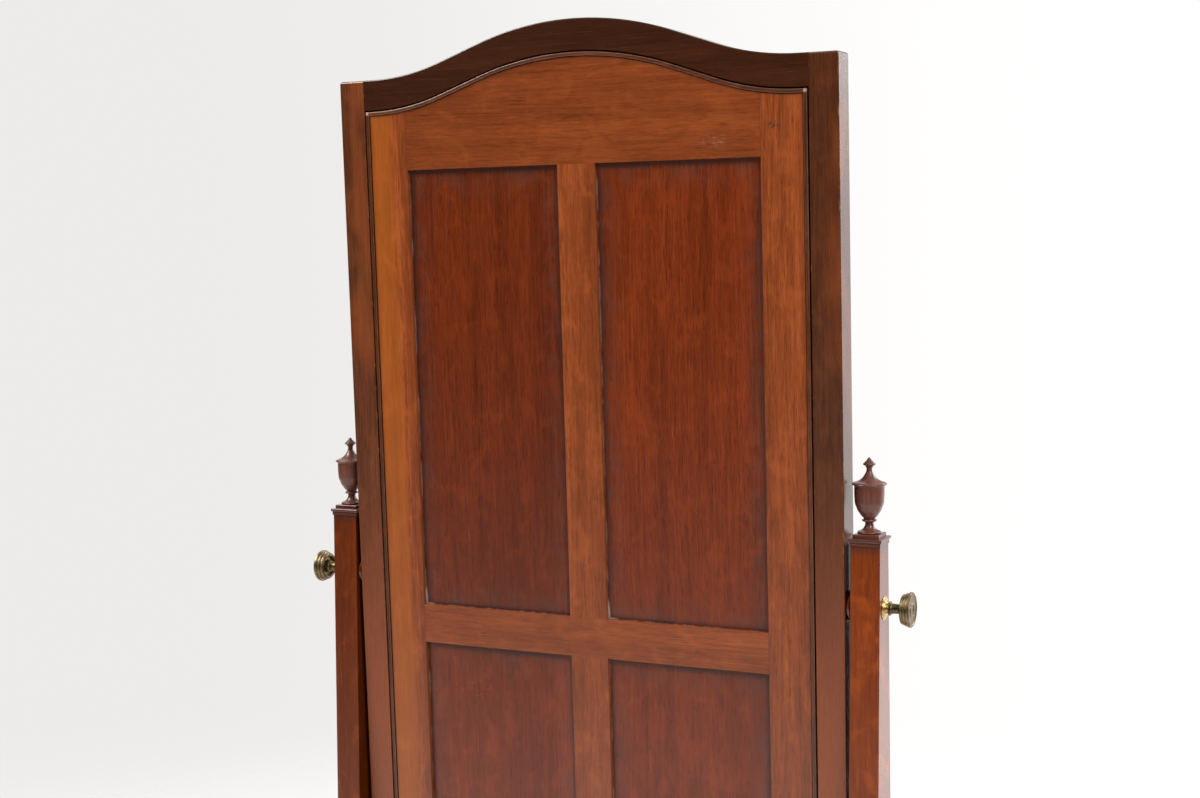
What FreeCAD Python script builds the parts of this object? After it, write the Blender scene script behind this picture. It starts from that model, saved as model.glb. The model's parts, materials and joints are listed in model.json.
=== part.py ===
import FreeCAD, Part
import math
import os
import re
import Sketcher

# A cheval mirror: an arched mahogany frame swings between two tapered uprights on swept legs.
# Millimetres. +Z is up, the glass faces -Y and the panelled back faces +Y. The origin lies on the
# floor, midway between the uprights. Left is -X, as seen by someone who looks into the glass.

# Driving dimensions: alias, value, meaning. Angles are in degrees.
SIZES = [
    # the swinging frame, measured from its pivot
    ("pivot_height", 870, "floor to pivot"),
    ("rest_tilt", 1.6, "lean of the frame's top towards the back"),
    ("frame_width", 610, "overall width of the frame"),
    ("frame_depth", 36, "front to back"),
    ("shoulder_rise", 589, "pivot to the frame's top corners"),
    ("frame_drop", 704, "pivot to the frame's bottom edge"),
    ("crest_radius", 360, "top of the arch"),
    ("crest_slope", 19.2, "steepest slope of the arch"),
    ("crest_run", 54, "straight stretch between the arch's curves"),
    ("ogee_radius", 281, "hollow curve between arch and shoulder"),
    ("stile_band", 32.5, "frame stile behind the rebate"),
    ("rail_band", 35, "frame rail behind the rebate"),
    ("lip", 9.5, "how far the front lip covers the glass"),
    ("lip_depth", 9, "thickness of the front lip"),
    ("ovolo", 5, "moulding on the lip's sight edge"),
    ("arris", 1.6, "rounding of the frame's outer edges"),
    ("corner", 3, "rounding of the frame's top corners"),
    ("tenon_long", 18, "frame rail tenon"),
    ("tenon_thick", 12, "frame rail tenon"),
    ("tenon_tall", 20, "frame rail tenon"),
    ("tenon_inset", 4, "lip to tenon"),
    # the glass
    ("glass_thick", 5, "plate glass"),
    ("glass_gap", 1.5, "slack round the glass"),
    ("bevel_wide", 28, "bevel from the glass's edge"),
    ("bevel_deep", 1.6, "how much the bevel takes off the edge"),
    ("block_long", 60, "glass block"),
    ("block_wide", 9, "glass block"),
    # the panelled back
    ("back_thick", 16, "back frame"),
    ("back_sunk", 1.2, "back frame below the outer frame"),
    ("quirk", 1.4, "groove outside the cock bead"),
    ("bead_wide", 5.4, "cock bead"),
    ("bead_deep", 9, "cock bead"),
    ("bead_proud", 0.7, "cock bead above the outer frame"),
    ("bead_arris", 1, "rounding of the cock bead"),
    ("slack", 0.3, "slack between fitted edges"),
    ("panel_outer", 218, "middle of the back to a panel's outer edge"),
    ("muntin_wide", 46, "muntin and middle rail"),
    ("panel_top", 483, "pivot to the top of the upper panels"),
    ("panel_tall", 517, "each panel"),
    ("panel_thick", 6, "panel"),
    ("panel_sunk", 5, "panel below the back frame's face"),
    ("groove_deep", 6, "groove for the panels"),
    ("rail_tongue", 60, "top rail's tongue"),
    # uprights
    ("upright_inner", 310.75, "middle of the stand to an upright's inner face"),
    ("upright_wide", 32.5, "upright"),
    ("upright_top", 938, "floor to the top of the upright"),
    ("upright_foot", 100, "floor to the bottom of the upright"),
    ("upright_slim", 34.4, "depth of the upright at its top"),
    ("upright_flare", 0.0275, "how fast each face flares towards the foot"),
    ("upright_arris", 1.2, "rounding of the long edges"),
    ("cap_over", 2.2, "overhang of the cap"),
    ("cap_tall", 8, "cap"),
    ("cap_nose", 1.7, "rounding of the cap"),
    ("cap_band", 4, "plain band under the cap's nosing"),
    ("cap_band_over", 0.7, "overhang of the band"),
    ("step_wide", 29, "square step on the cap"),
    ("step_tall", 4.3, "square step on the cap"),
    ("step_nose", 1.4, "rounding of the step"),
    ("finial_wide", 36.4, "rim of the urn"),
    ("finial_tall", 81.6, "urn above the step"),
    ("spigot_radius", 5, "finial spigot"),
    ("spigot_long", 32, "finial spigot"),
    # legs and stretcher
    ("leg_wide", 30, "leg"),
    ("leg_arris", 1.2, "chamfer of the leg"),
    ("hip_top", 208, "floor to the top of the leg's joint"),
    ("hip_foot", 116, "floor to the bottom of the leg's joint"),
    ("toe_start", 236, "middle to the straight end of the leg"),
    ("toe_end", 270, "middle to the end of the leg"),
    ("toe_foot", 52, "floor to the underside of the toe"),
    ("toe_tall", 28, "toe"),
    ("dowel_radius", 4.5, "leg dowel"),
    ("dowel_long", 36, "leg dowel"),
    ("dowel_low", 132, "floor to the lower dowels"),
    ("dowel_high", 157, "floor to the upper dowels"),
    ("stretcher_top", 156, "floor to the top of the stretcher"),
    ("stretcher_tall", 44, "stretcher at its ends"),
    ("stretcher_thick", 22, "stretcher"),
    ("stretcher_arch", 14, "rise of the stretcher's lower edge"),
    ("stub_long", 20, "stretcher tenon"),
    ("stub_thick", 12, "stretcher tenon"),
    ("stub_shoulder", 8, "stretcher above and below its tenon"),
    # pivot and clamp
    ("screw_radius", 4, "clamp screw"),
    ("screw_end", 289, "middle to the inner end of the screw"),
    ("screw_slack", 0.05, "running clearance of the screw"),
    ("bore_radius", 4.6, "hole through the upright"),
    ("boss_radius", 18, "turned boss beside the frame"),
    ("boss_gap", 0.35, "boss to frame"),
    ("rosette_radius", 12.8, "rosette"),
    ("rosette_thick", 3.4, "rosette"),
    ("washer_radius", 7.4, "thrust washer"),
    ("washer_thick", 2, "thrust washer"),
    ("stem_radius", 5.3, "knob stem"),
    ("knob_radius", 19, "knob"),
    ("knob_inner", 366.6, "middle to the back of the knob's disc"),
    ("knob_thick", 9.2, "knob's disc"),
    ("screw_seat", 4, "how far the screw enters the knob's disc"),
    ("plate_wide", 20, "pivot plate"),
    ("plate_tall", 34, "pivot plate"),
    ("plate_thick", 3, "pivot plate"),
    ("plate_boss", 7.5, "radius of the plate's threaded boss"),
    ("plate_boss_long", 15, "plate's threaded boss"),
    ("woodscrew_radius", 1.7, "pivot plate screw"),
    ("woodscrew_head", 3.6, "pivot plate screw"),
    ("woodscrew_head_deep", 2, "pivot plate screw"),
    ("woodscrew_long", 16, "pivot plate screw"),
    ("woodscrew_apart", 24, "between the two screws of a plate"),
    # castors
    ("castor_out", 252, "middle to the castor's swivel axis, front to back"),
    ("castor_turn", 28, "how far the castors stand turned"),
    ("cup_wall", 1.8, "castor cup"),
    ("cup_boss_radius", 9, "castor cup's round boss"),
    ("cup_boss_tall", 3.4, "castor cup's round boss"),
    ("pin_radius", 3, "castor's swivel pin"),
    ("pin_rise", 25, "swivel pin above the horn"),
    ("pin_slack", 0.05, "running clearance of the swivel pin"),
    ("swivel_gap", 0.3, "horn to cup"),
    ("crown_thick", 4, "horn's crown"),
    ("crown_half", 8, "half the crown, along the trail"),
    ("cheek_thick", 2.6, "horn's cheeks"),
    ("cheek_inner", 7.4, "middle to the inside of a cheek"),
    ("cheek_eye", 5, "radius of the cheek round the axle"),
    ("trail", 12, "swivel axis to axle"),
    ("wheel_radius", 15, "castor wheel"),
    ("tread_half", 5.2, "half the wheel's tread"),
    ("hub_half", 6.7, "half the wheel's hub"),
    ("axle_radius", 2, "hole for the axle"),
    ("axle_slack", 0.05, "running clearance of the axle"),
    ("rivet_radius", 3.4, "axle's rivet heads"),
]

doc = FreeCAD.newDocument("cheval_mirror")
sheet = doc.addObject("Spreadsheet::Sheet", "Sizes")
for row, (alias, number, meaning) in enumerate(SIZES, start=1):
    sheet.set(f"A{row}", meaning)
    sheet.set(f"B{row}", str(number))
    sheet.setAlias(f"B{row}", alias)
doc.recompute()

ALIASES = {alias for alias, number, meaning in SIZES}
NODES = []


def bound(text):
    """An expression with every alias pointing at the sheet."""
    return re.sub(r"[a-z_]+", lambda word: "Sizes." + word[0] if word[0] in ALIASES else word[0], text)


def size(text):
    """The present value of an expression in the sheet's words."""
    result = sheet.evalExpression(text)
    return float(getattr(result, "Value", result))


# ---- how pieces are placed ----

def place(piece, spot, axis=(0, 0, 1), turn="0"):
    """Put a piece at a spot, turned by an angle about an axis, all in the sheet's words."""
    vector = FreeCAD.Vector(*[size(part) for part in spot])
    piece.Placement = FreeCAD.Placement(vector, FreeCAD.Rotation(FreeCAD.Vector(*axis), size(turn)))
    for letter, part in zip("xyz", spot):
        piece.setExpression(f".Placement.Base.{letter}", bound(part))
    if size(turn):
        piece.setExpression(".Placement.Rotation.Angle", bound(turn))


def swing(piece):
    """Place a piece drawn about the pivot so that it hangs with the leaning frame."""
    place(piece, ("0", "0", "pivot_height"), (1, 0, 0), "-rest_tilt")


def new_body(label):
    body = doc.addObject("PartDesign::Body", label)
    body.Label = label
    NODES.append(body)
    return body


# ---- how outlines are drawn ----

def new_sketch(body, plane, offset="0"):
    """A sketch on one of the body's own planes, moved along that plane's normal."""
    sketch = body.newObject("Sketcher::SketchObject", f"{body.Name}_{plane}")
    support = next(item for item in body.Origin.OriginFeatures if item.Role == f"{plane}_Plane")
    sketch.AttachmentSupport = [(support, "")]
    sketch.MapMode = "FlatFace"
    sketch.setExpression(".AttachmentOffset.Base.z", bound(offset))
    return sketch


def bind(sketch, kind, expression, *where):
    """Add a constraint and bind its value to the sheet."""
    index = sketch.addConstraint(Sketcher.Constraint(kind, *where, size(expression)))
    sketch.setExpression(f"Constraints[{index}]", bound(expression))


def arc_between(start, end, radius, side):
    """The smaller arc from start to end, its centre on the given side of the way there."""
    chord = end - start
    reach = math.sqrt(max(radius ** 2 - chord.Length ** 2 / 4, 0))
    across = FreeCAD.Vector(-chord.y, chord.x, 0).normalize()
    centre = (start + end) / 2 + across * (reach if side == "left" else -reach)
    first, last = (start, end) if side == "left" else (end, start)
    angles = [math.atan2(point.y - centre.y, point.x - centre.x) for point in (first, last)]
    return Part.ArcOfCircle(Part.Circle(centre, FreeCAD.Vector(0, 0, 1), radius), *angles)


def draw(sketch, path, closed=True):
    """Draw an outline. A corner is (x, y), or (x, y, radius, side) where an arc leaves it."""
    points = [FreeCAD.Vector(size(corner[0]), size(corner[1]), 0) for corner in path]
    edges = []
    for corner, start, end in zip(path, points, points[1:] + points[:closed]):
        if len(corner) == 2:
            edge = sketch.addGeometry(Part.LineSegment(start, end), False)
            edges.append((edge, 1, 2))
            continue
        edge = sketch.addGeometry(arc_between(start, end, size(corner[2]), corner[3]), False)
        edges.append((edge, 1, 2) if corner[3] == "left" else (edge, 2, 1))
        bind(sketch, "Radius", corner[2], edge)
    for (edge, first, last), (after, start, end) in zip(edges, edges[1:] + edges[:closed]):
        sketch.addConstraint(Sketcher.Constraint("Coincident", edge, last, after, start))
    ends = [(edge, first) for edge, first, last in edges] + [(edge, last) for edge, first, last in edges[-1:]]
    for corner, end in zip(path, ends):
        bind(sketch, "DistanceX", corner[0], -1, 1, *end)
        bind(sketch, "DistanceY", corner[1], -1, 1, *end)


def draw_circle(sketch, x, y, radius):
    centre = FreeCAD.Vector(size(x), size(y), 0)
    edge = sketch.addGeometry(Part.Circle(centre, FreeCAD.Vector(0, 0, 1), size(radius)), False)
    bind(sketch, "DistanceX", x, -1, 1, edge, 3)
    bind(sketch, "DistanceY", y, -1, 1, edge, 3)
    bind(sketch, "Radius", radius, edge)


def oblong(low_x, low_y, high_x, high_y):
    """The four corners of an upright rectangle."""
    return [(low_x, low_y), (high_x, low_y), (high_x, high_y), (low_x, high_y)]


OTHER = {"left": "right", "right": "left"}


def flipped(path, sign):
    """The outline for the side of the given sign, drawn for the positive side."""
    if sign > 0:
        return path
    return [(f"-({corner[0]})", corner[1], *corner[2:3], *[OTHER[side] for side in corner[3:]])
            for corner in path]


def backwards(path):
    """The same line walked the other way, arcs included."""
    result = []
    for corner, ahead in zip(path[::-1], path[-2::-1] + [()]):
        arc = (ahead[2], OTHER[ahead[3]]) if len(ahead) > 2 else ()
        result.append(tuple(corner[:2]) + arc)
    return result


# ---- how solids are made ----

def extrude(body, plane, low, high, *outlines, cut=False):
    """Pad or pocket outlines between two places on the axis that the plane faces.

    An outline is a list of corners, or a tuple (x, y, radius) for a circle.
    """
    sketch = new_sketch(body, plane, f"-({high})" if plane == "XZ" else low)
    for outline in outlines:
        if isinstance(outline, tuple):
            draw_circle(sketch, *outline)
        else:
            draw(sketch, outline)
    kind = "Pocket" if cut else "Pad"
    feature = body.newObject(f"PartDesign::{kind}", f"{body.Name}_{kind}")
    feature.Profile = sketch
    feature.Reversed = cut
    feature.setExpression("Length", bound(f"({high}) - ({low})"))
    return feature


def extrude_side(body, sign, near, far, *outlines, cut=False):
    """Extrude along X on one side of the middle, between two distances from it."""
    low, high = (near, far) if sign > 0 else (f"-({far})", f"-({near})")
    return extrude(body, "YZ", low, high, *outlines, cut=cut)


def turn_on_lathe(body, plane, axis, path):
    """A turned solid: an outline spun about an axis of its own sketch."""
    sketch = new_sketch(body, plane)
    draw(sketch, path)
    feature = body.newObject("PartDesign::Revolution", f"{body.Name}_Turning")
    feature.Profile = sketch
    feature.ReferenceAxis = (sketch, [axis])
    feature.Angle = 360
    return feature


def dress_edges(body, kind, property_name, width, wanted):
    """Fillet or chamfer the edges of the body's last feature that the test picks."""
    doc.recompute()
    base = body.Tip
    names = [f"Edge{count}" for count, edge in enumerate(base.Shape.Edges, start=1) if wanted(edge)]
    dressing = body.newObject(f"PartDesign::{kind}", f"{body.Name}_{kind}")
    dressing.Base = (base, names)
    dressing.setExpression(property_name, bound(width))
    return dressing


def round_edges(body, radius, wanted):
    """Round the edges that the test picks."""
    return dress_edges(body, "Fillet", "Radius", radius, wanted)


def chamfer_edges(body, width, wanted):
    """Take the edges that the test picks off at 45 degrees."""
    return dress_edges(body, "Chamfer", "Size", width, wanted)


def lies(edge, **limits):
    """True if the whole edge lies within limits in the sheet's words, such as x=(low, high)."""
    box = edge.BoundBox
    spans = {"x": (box.XMin, box.XMax), "y": (box.YMin, box.YMax), "z": (box.ZMin, box.ZMax)}
    slop = 0.01
    return all(size(low) - slop <= spans[key][0] and spans[key][1] <= size(high) + slop
               for key, (low, high) in limits.items())


def rod(name, radius, length, spot, axis=(0, 0, 1), turn="0"):
    """A plain round bar that starts at a spot."""
    bar = doc.addObject("Part::Cylinder", name)
    bar.setExpression("Radius", bound(radius))
    bar.setExpression("Height", bound(length))
    place(bar, spot, axis, turn)
    return bar


def block(name, sides, middle):
    """A plain block about its middle."""
    brick = doc.addObject("Part::Box", name)
    for key, side in zip(("Length", "Width", "Height"), sides):
        brick.setExpression(key, bound(side))
    place(brick, [f"({centre}) - ({side})/2" for centre, side in zip(middle, sides)])
    return brick


def joined(name, pieces):
    union = doc.addObject("Part::MultiFuse", name)
    union.Shapes = pieces
    return union


def cut_from(name, base, tool):
    result = doc.addObject("Part::Cut", name)
    result.Base = base
    result.Tool = tool
    return result


def as_node(label, piece):
    piece.Label = label
    NODES.append(piece)
    return piece


def group(label, members):
    """Identical small pieces as one node of separate solids."""
    node = doc.addObject("Part::Compound", label)
    node.Links = members
    return as_node(label, node)


HANDS = (("left", -1), ("right", 1))
ENDS = (("front", -1), ("rear", 1))

# ---- the arch, which the frame, the glass, the bead and the back all follow ----

SINE = "sin(crest_slope)"
COSINE = "cos(crest_slope)"
CREST_X = f"crest_radius*{SINE}"
OGEE_X = f"({CREST_X} + crest_run*{COSINE})"
FLAT_X = f"({OGEE_X} + ogee_radius*{SINE})"
OGEE_RISE = f"ogee_radius*(1 - {COSINE})"
CREST_RISE = f"({OGEE_RISE} + crest_run*{SINE})"


def hollow_rise(x):
    """How far the arch has risen above the shoulder at x, within its hollow curve."""
    return f"(ogee_radius - sqrt(ogee_radius^2 - ({FLAT_X} - ({x}))^2))"


def arch(half, drop):
    """Corners along the arch from +half to -half, out on the flat shoulders, lowered by drop."""
    flat_z = f"shoulder_rise - ({drop})"
    ogee_z = f"{flat_z} + {OGEE_RISE}"
    crest_z = f"{flat_z} + {CREST_RISE}"
    return [
        (half, flat_z),
        (FLAT_X, flat_z, "ogee_radius", "right"),
        (OGEE_X, ogee_z),
        (CREST_X, crest_z, "crest_radius", "left"),
        (f"-({CREST_X})", crest_z),
        (f"-{OGEE_X}", ogee_z, "ogee_radius", "right"),
        (f"-{FLAT_X}", flat_z),
        (f"-({half})", flat_z),
    ]


def short_arch(half, drop):
    """The same line where it stops short of the shoulders, within the hollow curves."""
    line = arch(half, drop)[2:6]
    end_z = f"shoulder_rise - ({drop}) + {hollow_rise(half)}"
    return [(half, end_z, "ogee_radius", "right")] + line + [(f"-({half})", end_z)]


def follows_arch(edge, drop):
    """True if the edge runs along the arch lowered by drop."""
    point = edge.valueAt((edge.FirstParameter + edge.LastParameter) / 2)
    across = abs(point.x)
    crest = size("crest_radius")
    if across < size(CREST_X):
        rise = size(CREST_RISE) - size(f"crest_radius*{COSINE}") + math.sqrt(crest ** 2 - across ** 2)
    elif across < size(OGEE_X):
        rise = size(OGEE_RISE) + (size(OGEE_X) - across) * size("tan(crest_slope)")
    else:
        rise = size(hollow_rise(f"{min(across, size(FLAT_X))}"))
    return edge.Length > 1 and abs(point.z - size(f"shoulder_rise - ({drop})") - rise) < 0.05


# ---- the swinging frame ----

HALF = "frame_width/2"
FRONT = "-frame_depth/2"
BACK = "frame_depth/2"
LIP_BACK = f"({FRONT} + lip_depth)"
STILE_X = f"({HALF} - stile_band)"
SIGHT_X = f"({STILE_X} - lip)"
RAIL_Z = "(shoulder_rise - rail_band)"
FOOT_Z = "(rail_band - frame_drop)"
TENON_Y = f"{LIP_BACK} + tenon_inset"
TENON_ROWS = ("shoulder_rise - rail_band/2 - tenon_tall/2", "rail_band/2 - frame_drop - tenon_tall/2")

for hand, sign in HANDS:
    stile = new_body(f"frame_stile_{hand}")
    extrude(stile, "XY", "-frame_drop", "shoulder_rise", flipped([
        (HALF, FRONT), (HALF, BACK), (STILE_X, BACK), (STILE_X, LIP_BACK), (SIGHT_X, LIP_BACK),
        (SIGHT_X, f"{FRONT} + ovolo", "ovolo", "left"), (f"{SIGHT_X} + ovolo", FRONT)], sign))
    # the lip is mitred where it meets the lips of the rails
    for joint_z, beyond, slant in ((RAIL_Z, "shoulder_rise + 1", "-"), (FOOT_Z, "-frame_drop - 1", "+")):
        extrude(stile, "XZ", f"{FRONT} - 1", LIP_BACK, flipped([
            (STILE_X, joint_z), (f"{STILE_X} - 2*lip", f"{joint_z} {slant} 2*lip"),
            (f"{STILE_X} - 2*lip", beyond), (STILE_X, beyond)], sign), cut=True)
    outer = (f"{sign}*{HALF}", f"{sign}*{HALF}")
    round_edges(stile, "arris", lambda edge: lies(edge, x=outer) and edge.Length > size("frame_drop"))
    round_edges(stile, "corner", lambda edge: lies(edge, x=outer, z=("shoulder_rise", "shoulder_rise")))
    for low in TENON_ROWS:
        extrude(stile, "XZ", TENON_Y, f"{TENON_Y} + tenon_thick", flipped(
            oblong(f"{STILE_X} - 1", low, f"{STILE_X} + tenon_long", f"{low} + tenon_tall"), sign), cut=True)
    # the pivot plate is let in flush, with its boss and its two screws behind it
    extrude_side(stile, sign, f"{HALF} - plate_thick", f"{HALF} + 1",
                 oblong("-plate_wide/2", "-plate_tall/2", "plate_wide/2", "plate_tall/2"), cut=True)
    extrude_side(stile, sign, f"{HALF} - plate_thick - plate_boss_long", f"{HALF} + 1",
                 ("0", "0", "plate_boss"), cut=True)
    extrude_side(stile, sign, f"{HALF} - woodscrew_long - 1", f"{HALF} + 1",
                 ("0", "woodscrew_apart/2", "woodscrew_radius"),
                 ("0", "-woodscrew_apart/2", "woodscrew_radius"), cut=True)
    swing(stile)


def add_tenons(rail, low):
    for sign in (-1, 1):
        extrude(rail, "XZ", TENON_Y, f"{TENON_Y} + tenon_thick", flipped(
            oblong(STILE_X, low, f"{STILE_X} + tenon_long - slack", f"{low} + tenon_tall"), sign))


crest_rail = new_body("frame_crest_rail")
extrude(crest_rail, "XZ", LIP_BACK, BACK, arch(STILE_X, "0") + backwards(arch(STILE_X, "rail_band")))
extrude(crest_rail, "XZ", FRONT, LIP_BACK,
        [(STILE_X, RAIL_Z)] + arch(STILE_X, "0") + [(f"-{STILE_X}", RAIL_Z)]
        + backwards(arch(SIGHT_X, "rail_band + lip")))
round_edges(crest_rail, "ovolo", lambda edge: lies(edge, y=(FRONT, FRONT))
            and follows_arch(edge, "rail_band + lip"))
round_edges(crest_rail, "arris", lambda edge: follows_arch(edge, "0")
            and (lies(edge, y=(FRONT, FRONT)) or lies(edge, y=(BACK, BACK))))
add_tenons(crest_rail, TENON_ROWS[0])
swing(crest_rail)

foot_rail = new_body("frame_foot_rail")
extrude(foot_rail, "XZ", LIP_BACK, BACK, oblong(f"-{STILE_X}", "-frame_drop", STILE_X, FOOT_Z))
extrude(foot_rail, "XZ", FRONT, LIP_BACK, [
    (f"-{STILE_X}", "-frame_drop"), (STILE_X, "-frame_drop"), (STILE_X, FOOT_Z),
    (SIGHT_X, f"{FOOT_Z} + lip"), (f"-{SIGHT_X}", f"{FOOT_Z} + lip"), (f"-{STILE_X}", FOOT_Z)])
SIGHT_Z = f"{FOOT_Z} + lip"
round_edges(foot_rail, "ovolo", lambda edge: lies(edge, y=(FRONT, FRONT), z=(SIGHT_Z, SIGHT_Z)))
round_edges(foot_rail, "arris", lambda edge: lies(edge, z=("-frame_drop", "-frame_drop"))
            and (lies(edge, y=(FRONT, FRONT)) or lies(edge, y=(BACK, BACK))))
add_tenons(foot_rail, TENON_ROWS[1])
swing(foot_rail)

# ---- the glass, bevelled all round, and the blocks that hold it ----

GLASS_BACK = f"({LIP_BACK} + glass_thick)"
BACK_FACE = f"({BACK} - back_sunk)"
BACK_INNER = f"({BACK_FACE} - back_thick)"


GLASS_X = f"({STILE_X} - glass_gap)"
GLASS_FOOT = f"({FOOT_Z} + glass_gap)"

glass = new_body("mirror_glass")
extrude(glass, "XZ", LIP_BACK, GLASS_BACK,
        arch(GLASS_X, "rail_band + glass_gap") + [(f"-{GLASS_X}", GLASS_FOOT), (GLASS_X, GLASS_FOOT)])


def bevel_section(edge, toward):
    """What a bevel removes beside a glass edge: its corners as (depth, distance) pairs."""
    spare = "bevel_wide/4"
    return [(f"{LIP_BACK} - 1", f"{edge} {toward} bevel_wide"), (LIP_BACK, f"{edge} {toward} bevel_wide"),
            (f"{LIP_BACK} + bevel_deep*1.25", f"{edge} - (0 {toward} {spare})"),
            (f"{LIP_BACK} - 1", f"{edge} - (0 {toward} {spare})")]


GLASS_TOP = "(shoulder_rise - rail_band - glass_gap)"
side_section = [(across, depth) for depth, across in bevel_section(GLASS_X, "-")]
extrude(glass, "XY", f"{GLASS_FOOT} - 1", f"{GLASS_TOP} + crest_radius", side_section,
        flipped(side_section, -1), cut=True)
extrude(glass, "YZ", f"-{GLASS_X} - 1", f"{GLASS_X} + 1", bevel_section(GLASS_FOOT, "+"), cut=True)
spine = new_sketch(glass, "XZ", f"-{LIP_BACK}")
draw(spine, arch(f"{GLASS_X} + 1", "rail_band + glass_gap"), closed=False)
section = new_sketch(glass, "YZ", f"{GLASS_X} + 1")
draw(section, bevel_section(GLASS_TOP, "-"))
bevel = glass.newObject("PartDesign::SubtractivePipe", "mirror_glass_Bevel")
bevel.Profile = section
bevel.Spine = (spine, [f"Edge{count}" for count in range(1, spine.GeometryCount + 1)])
swing(glass)

BLOCK_DEEP = f"({BACK_INNER}) - ({GLASS_BACK})"
BLOCK_Y = f"(({BACK_INNER}) + ({GLASS_BACK}))/2"
BLOCK_X = f"({STILE_X} - block_wide/2)"
blocks = [
    block(f"side_block_{hand}_{count}", ("block_wide", BLOCK_DEEP, "block_long"),
          (f"{sign}*{BLOCK_X}", BLOCK_Y, f"{FOOT_Z} + block_long*{2 + 5*count}"))
    for hand, sign in HANDS for count in range(4)
] + [
    block(f"foot_block_{hand}", ("block_long", BLOCK_DEEP, "block_wide"),
          (f"{sign}*block_long*2", BLOCK_Y, f"{FOOT_Z} + block_wide/2"))
    for hand, sign in HANDS
]
swing(group("glass_blocks", blocks))

# ---- the panelled back ----

BEAD_Y = f"({BACK} + bead_proud - bead_deep)"
BEAD_TOP = f"{BACK} + bead_proud"
TONGUE_DROP = "(rail_band + slack)"
FACE_DROP = "(rail_band + quirk + bead_wide + slack)"
TONGUE_X = f"({STILE_X} - slack)"
FACE_X = f"({STILE_X} - quirk - bead_wide - slack)"
PANEL_HIGH = f"({BACK_FACE} - panel_sunk)"
PANEL_LOW = f"({PANEL_HIGH} - panel_thick)"
MID_TOP = "(panel_top - panel_tall)"
MID_LOW = f"({MID_TOP} - muntin_wide)"
FOOT_TOP = f"({MID_LOW} - panel_tall)"
MUNTIN_X = "muntin_wide/2"
TONGUE_LONG = "(groove_deep - slack)"


def back_stile_outline(outer_x, drop):
    flat_z = f"shoulder_rise - {drop}"
    foot = f"{drop} - frame_drop"
    return [("panel_outer", foot), (outer_x, foot), (outer_x, flat_z), (FLAT_X, flat_z, "ogee_radius", "right"),
            ("panel_outer", f"{flat_z} + {hollow_rise('panel_outer')}")]


for hand, sign in HANDS:
    stile = new_body(f"back_stile_{hand}")
    extrude(stile, "XZ", BACK_INNER, BACK_FACE, flipped(back_stile_outline(FACE_X, FACE_DROP), sign))
    extrude(stile, "XZ", BACK_INNER, BEAD_Y, flipped(back_stile_outline(TONGUE_X, TONGUE_DROP), sign))
    extrude(stile, "XZ", PANEL_LOW, PANEL_HIGH, flipped(
        oblong("panel_outer - 1", "-frame_drop", "panel_outer + groove_deep", "shoulder_rise + 99"), sign),
        cut=True)
    swing(stile)


def add_rail_tongues(rail, low, high):
    """Tongues at a back rail's ends, which fill the grooves of the stiles."""
    for sign in (-1, 1):
        extrude(rail, "XZ", PANEL_LOW, PANEL_HIGH, flipped(
            oblong("panel_outer", low, f"panel_outer + {TONGUE_LONG}", high), sign))


def back_rail_outline(drop):
    return short_arch("panel_outer", drop) + [("-panel_outer", "panel_top"), ("panel_outer", "panel_top")]


rail = new_body("back_top_rail")
extrude(rail, "XZ", BACK_INNER, BACK_FACE, back_rail_outline(FACE_DROP))
extrude(rail, "XZ", BACK_INNER, BEAD_Y, back_rail_outline(TONGUE_DROP))
extrude(rail, "XZ", PANEL_LOW, PANEL_HIGH,
        oblong("-panel_outer - 1", "panel_top - 1", "panel_outer + 1", "panel_top + groove_deep"), cut=True)
add_rail_tongues(rail, "panel_top + groove_deep", "panel_top + rail_tongue")
swing(rail)

rail = new_body("back_middle_rail")
extrude(rail, "XZ", BACK_INNER, BACK_FACE, oblong("-panel_outer", MID_LOW, "panel_outer", MID_TOP))
extrude(rail, "XZ", PANEL_LOW, PANEL_HIGH,
        oblong("-panel_outer - 1", f"{MID_TOP} - groove_deep", "panel_outer + 1", f"{MID_TOP} + 1"),
        oblong("-panel_outer - 1", f"{MID_LOW} - 1", "panel_outer + 1", f"{MID_LOW} + groove_deep"), cut=True)
add_rail_tongues(rail, f"{MID_LOW} + groove_deep", f"{MID_TOP} - groove_deep")
swing(rail)

rail = new_body("back_foot_rail")
extrude(rail, "XZ", BACK_INNER, BACK_FACE,
        oblong("-panel_outer", f"{FACE_DROP} - frame_drop", "panel_outer", FOOT_TOP))
extrude(rail, "XZ", BACK_INNER, BEAD_Y,
        oblong("-panel_outer", f"{TONGUE_DROP} - frame_drop", "panel_outer", FOOT_TOP))
extrude(rail, "XZ", PANEL_LOW, PANEL_HIGH,
        oblong("-panel_outer - 1", f"{FOOT_TOP} - groove_deep", "panel_outer + 1", f"{FOOT_TOP} + 1"), cut=True)
add_rail_tongues(rail, f"{FACE_DROP} - frame_drop", f"{FOOT_TOP} - groove_deep")
swing(rail)

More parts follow.
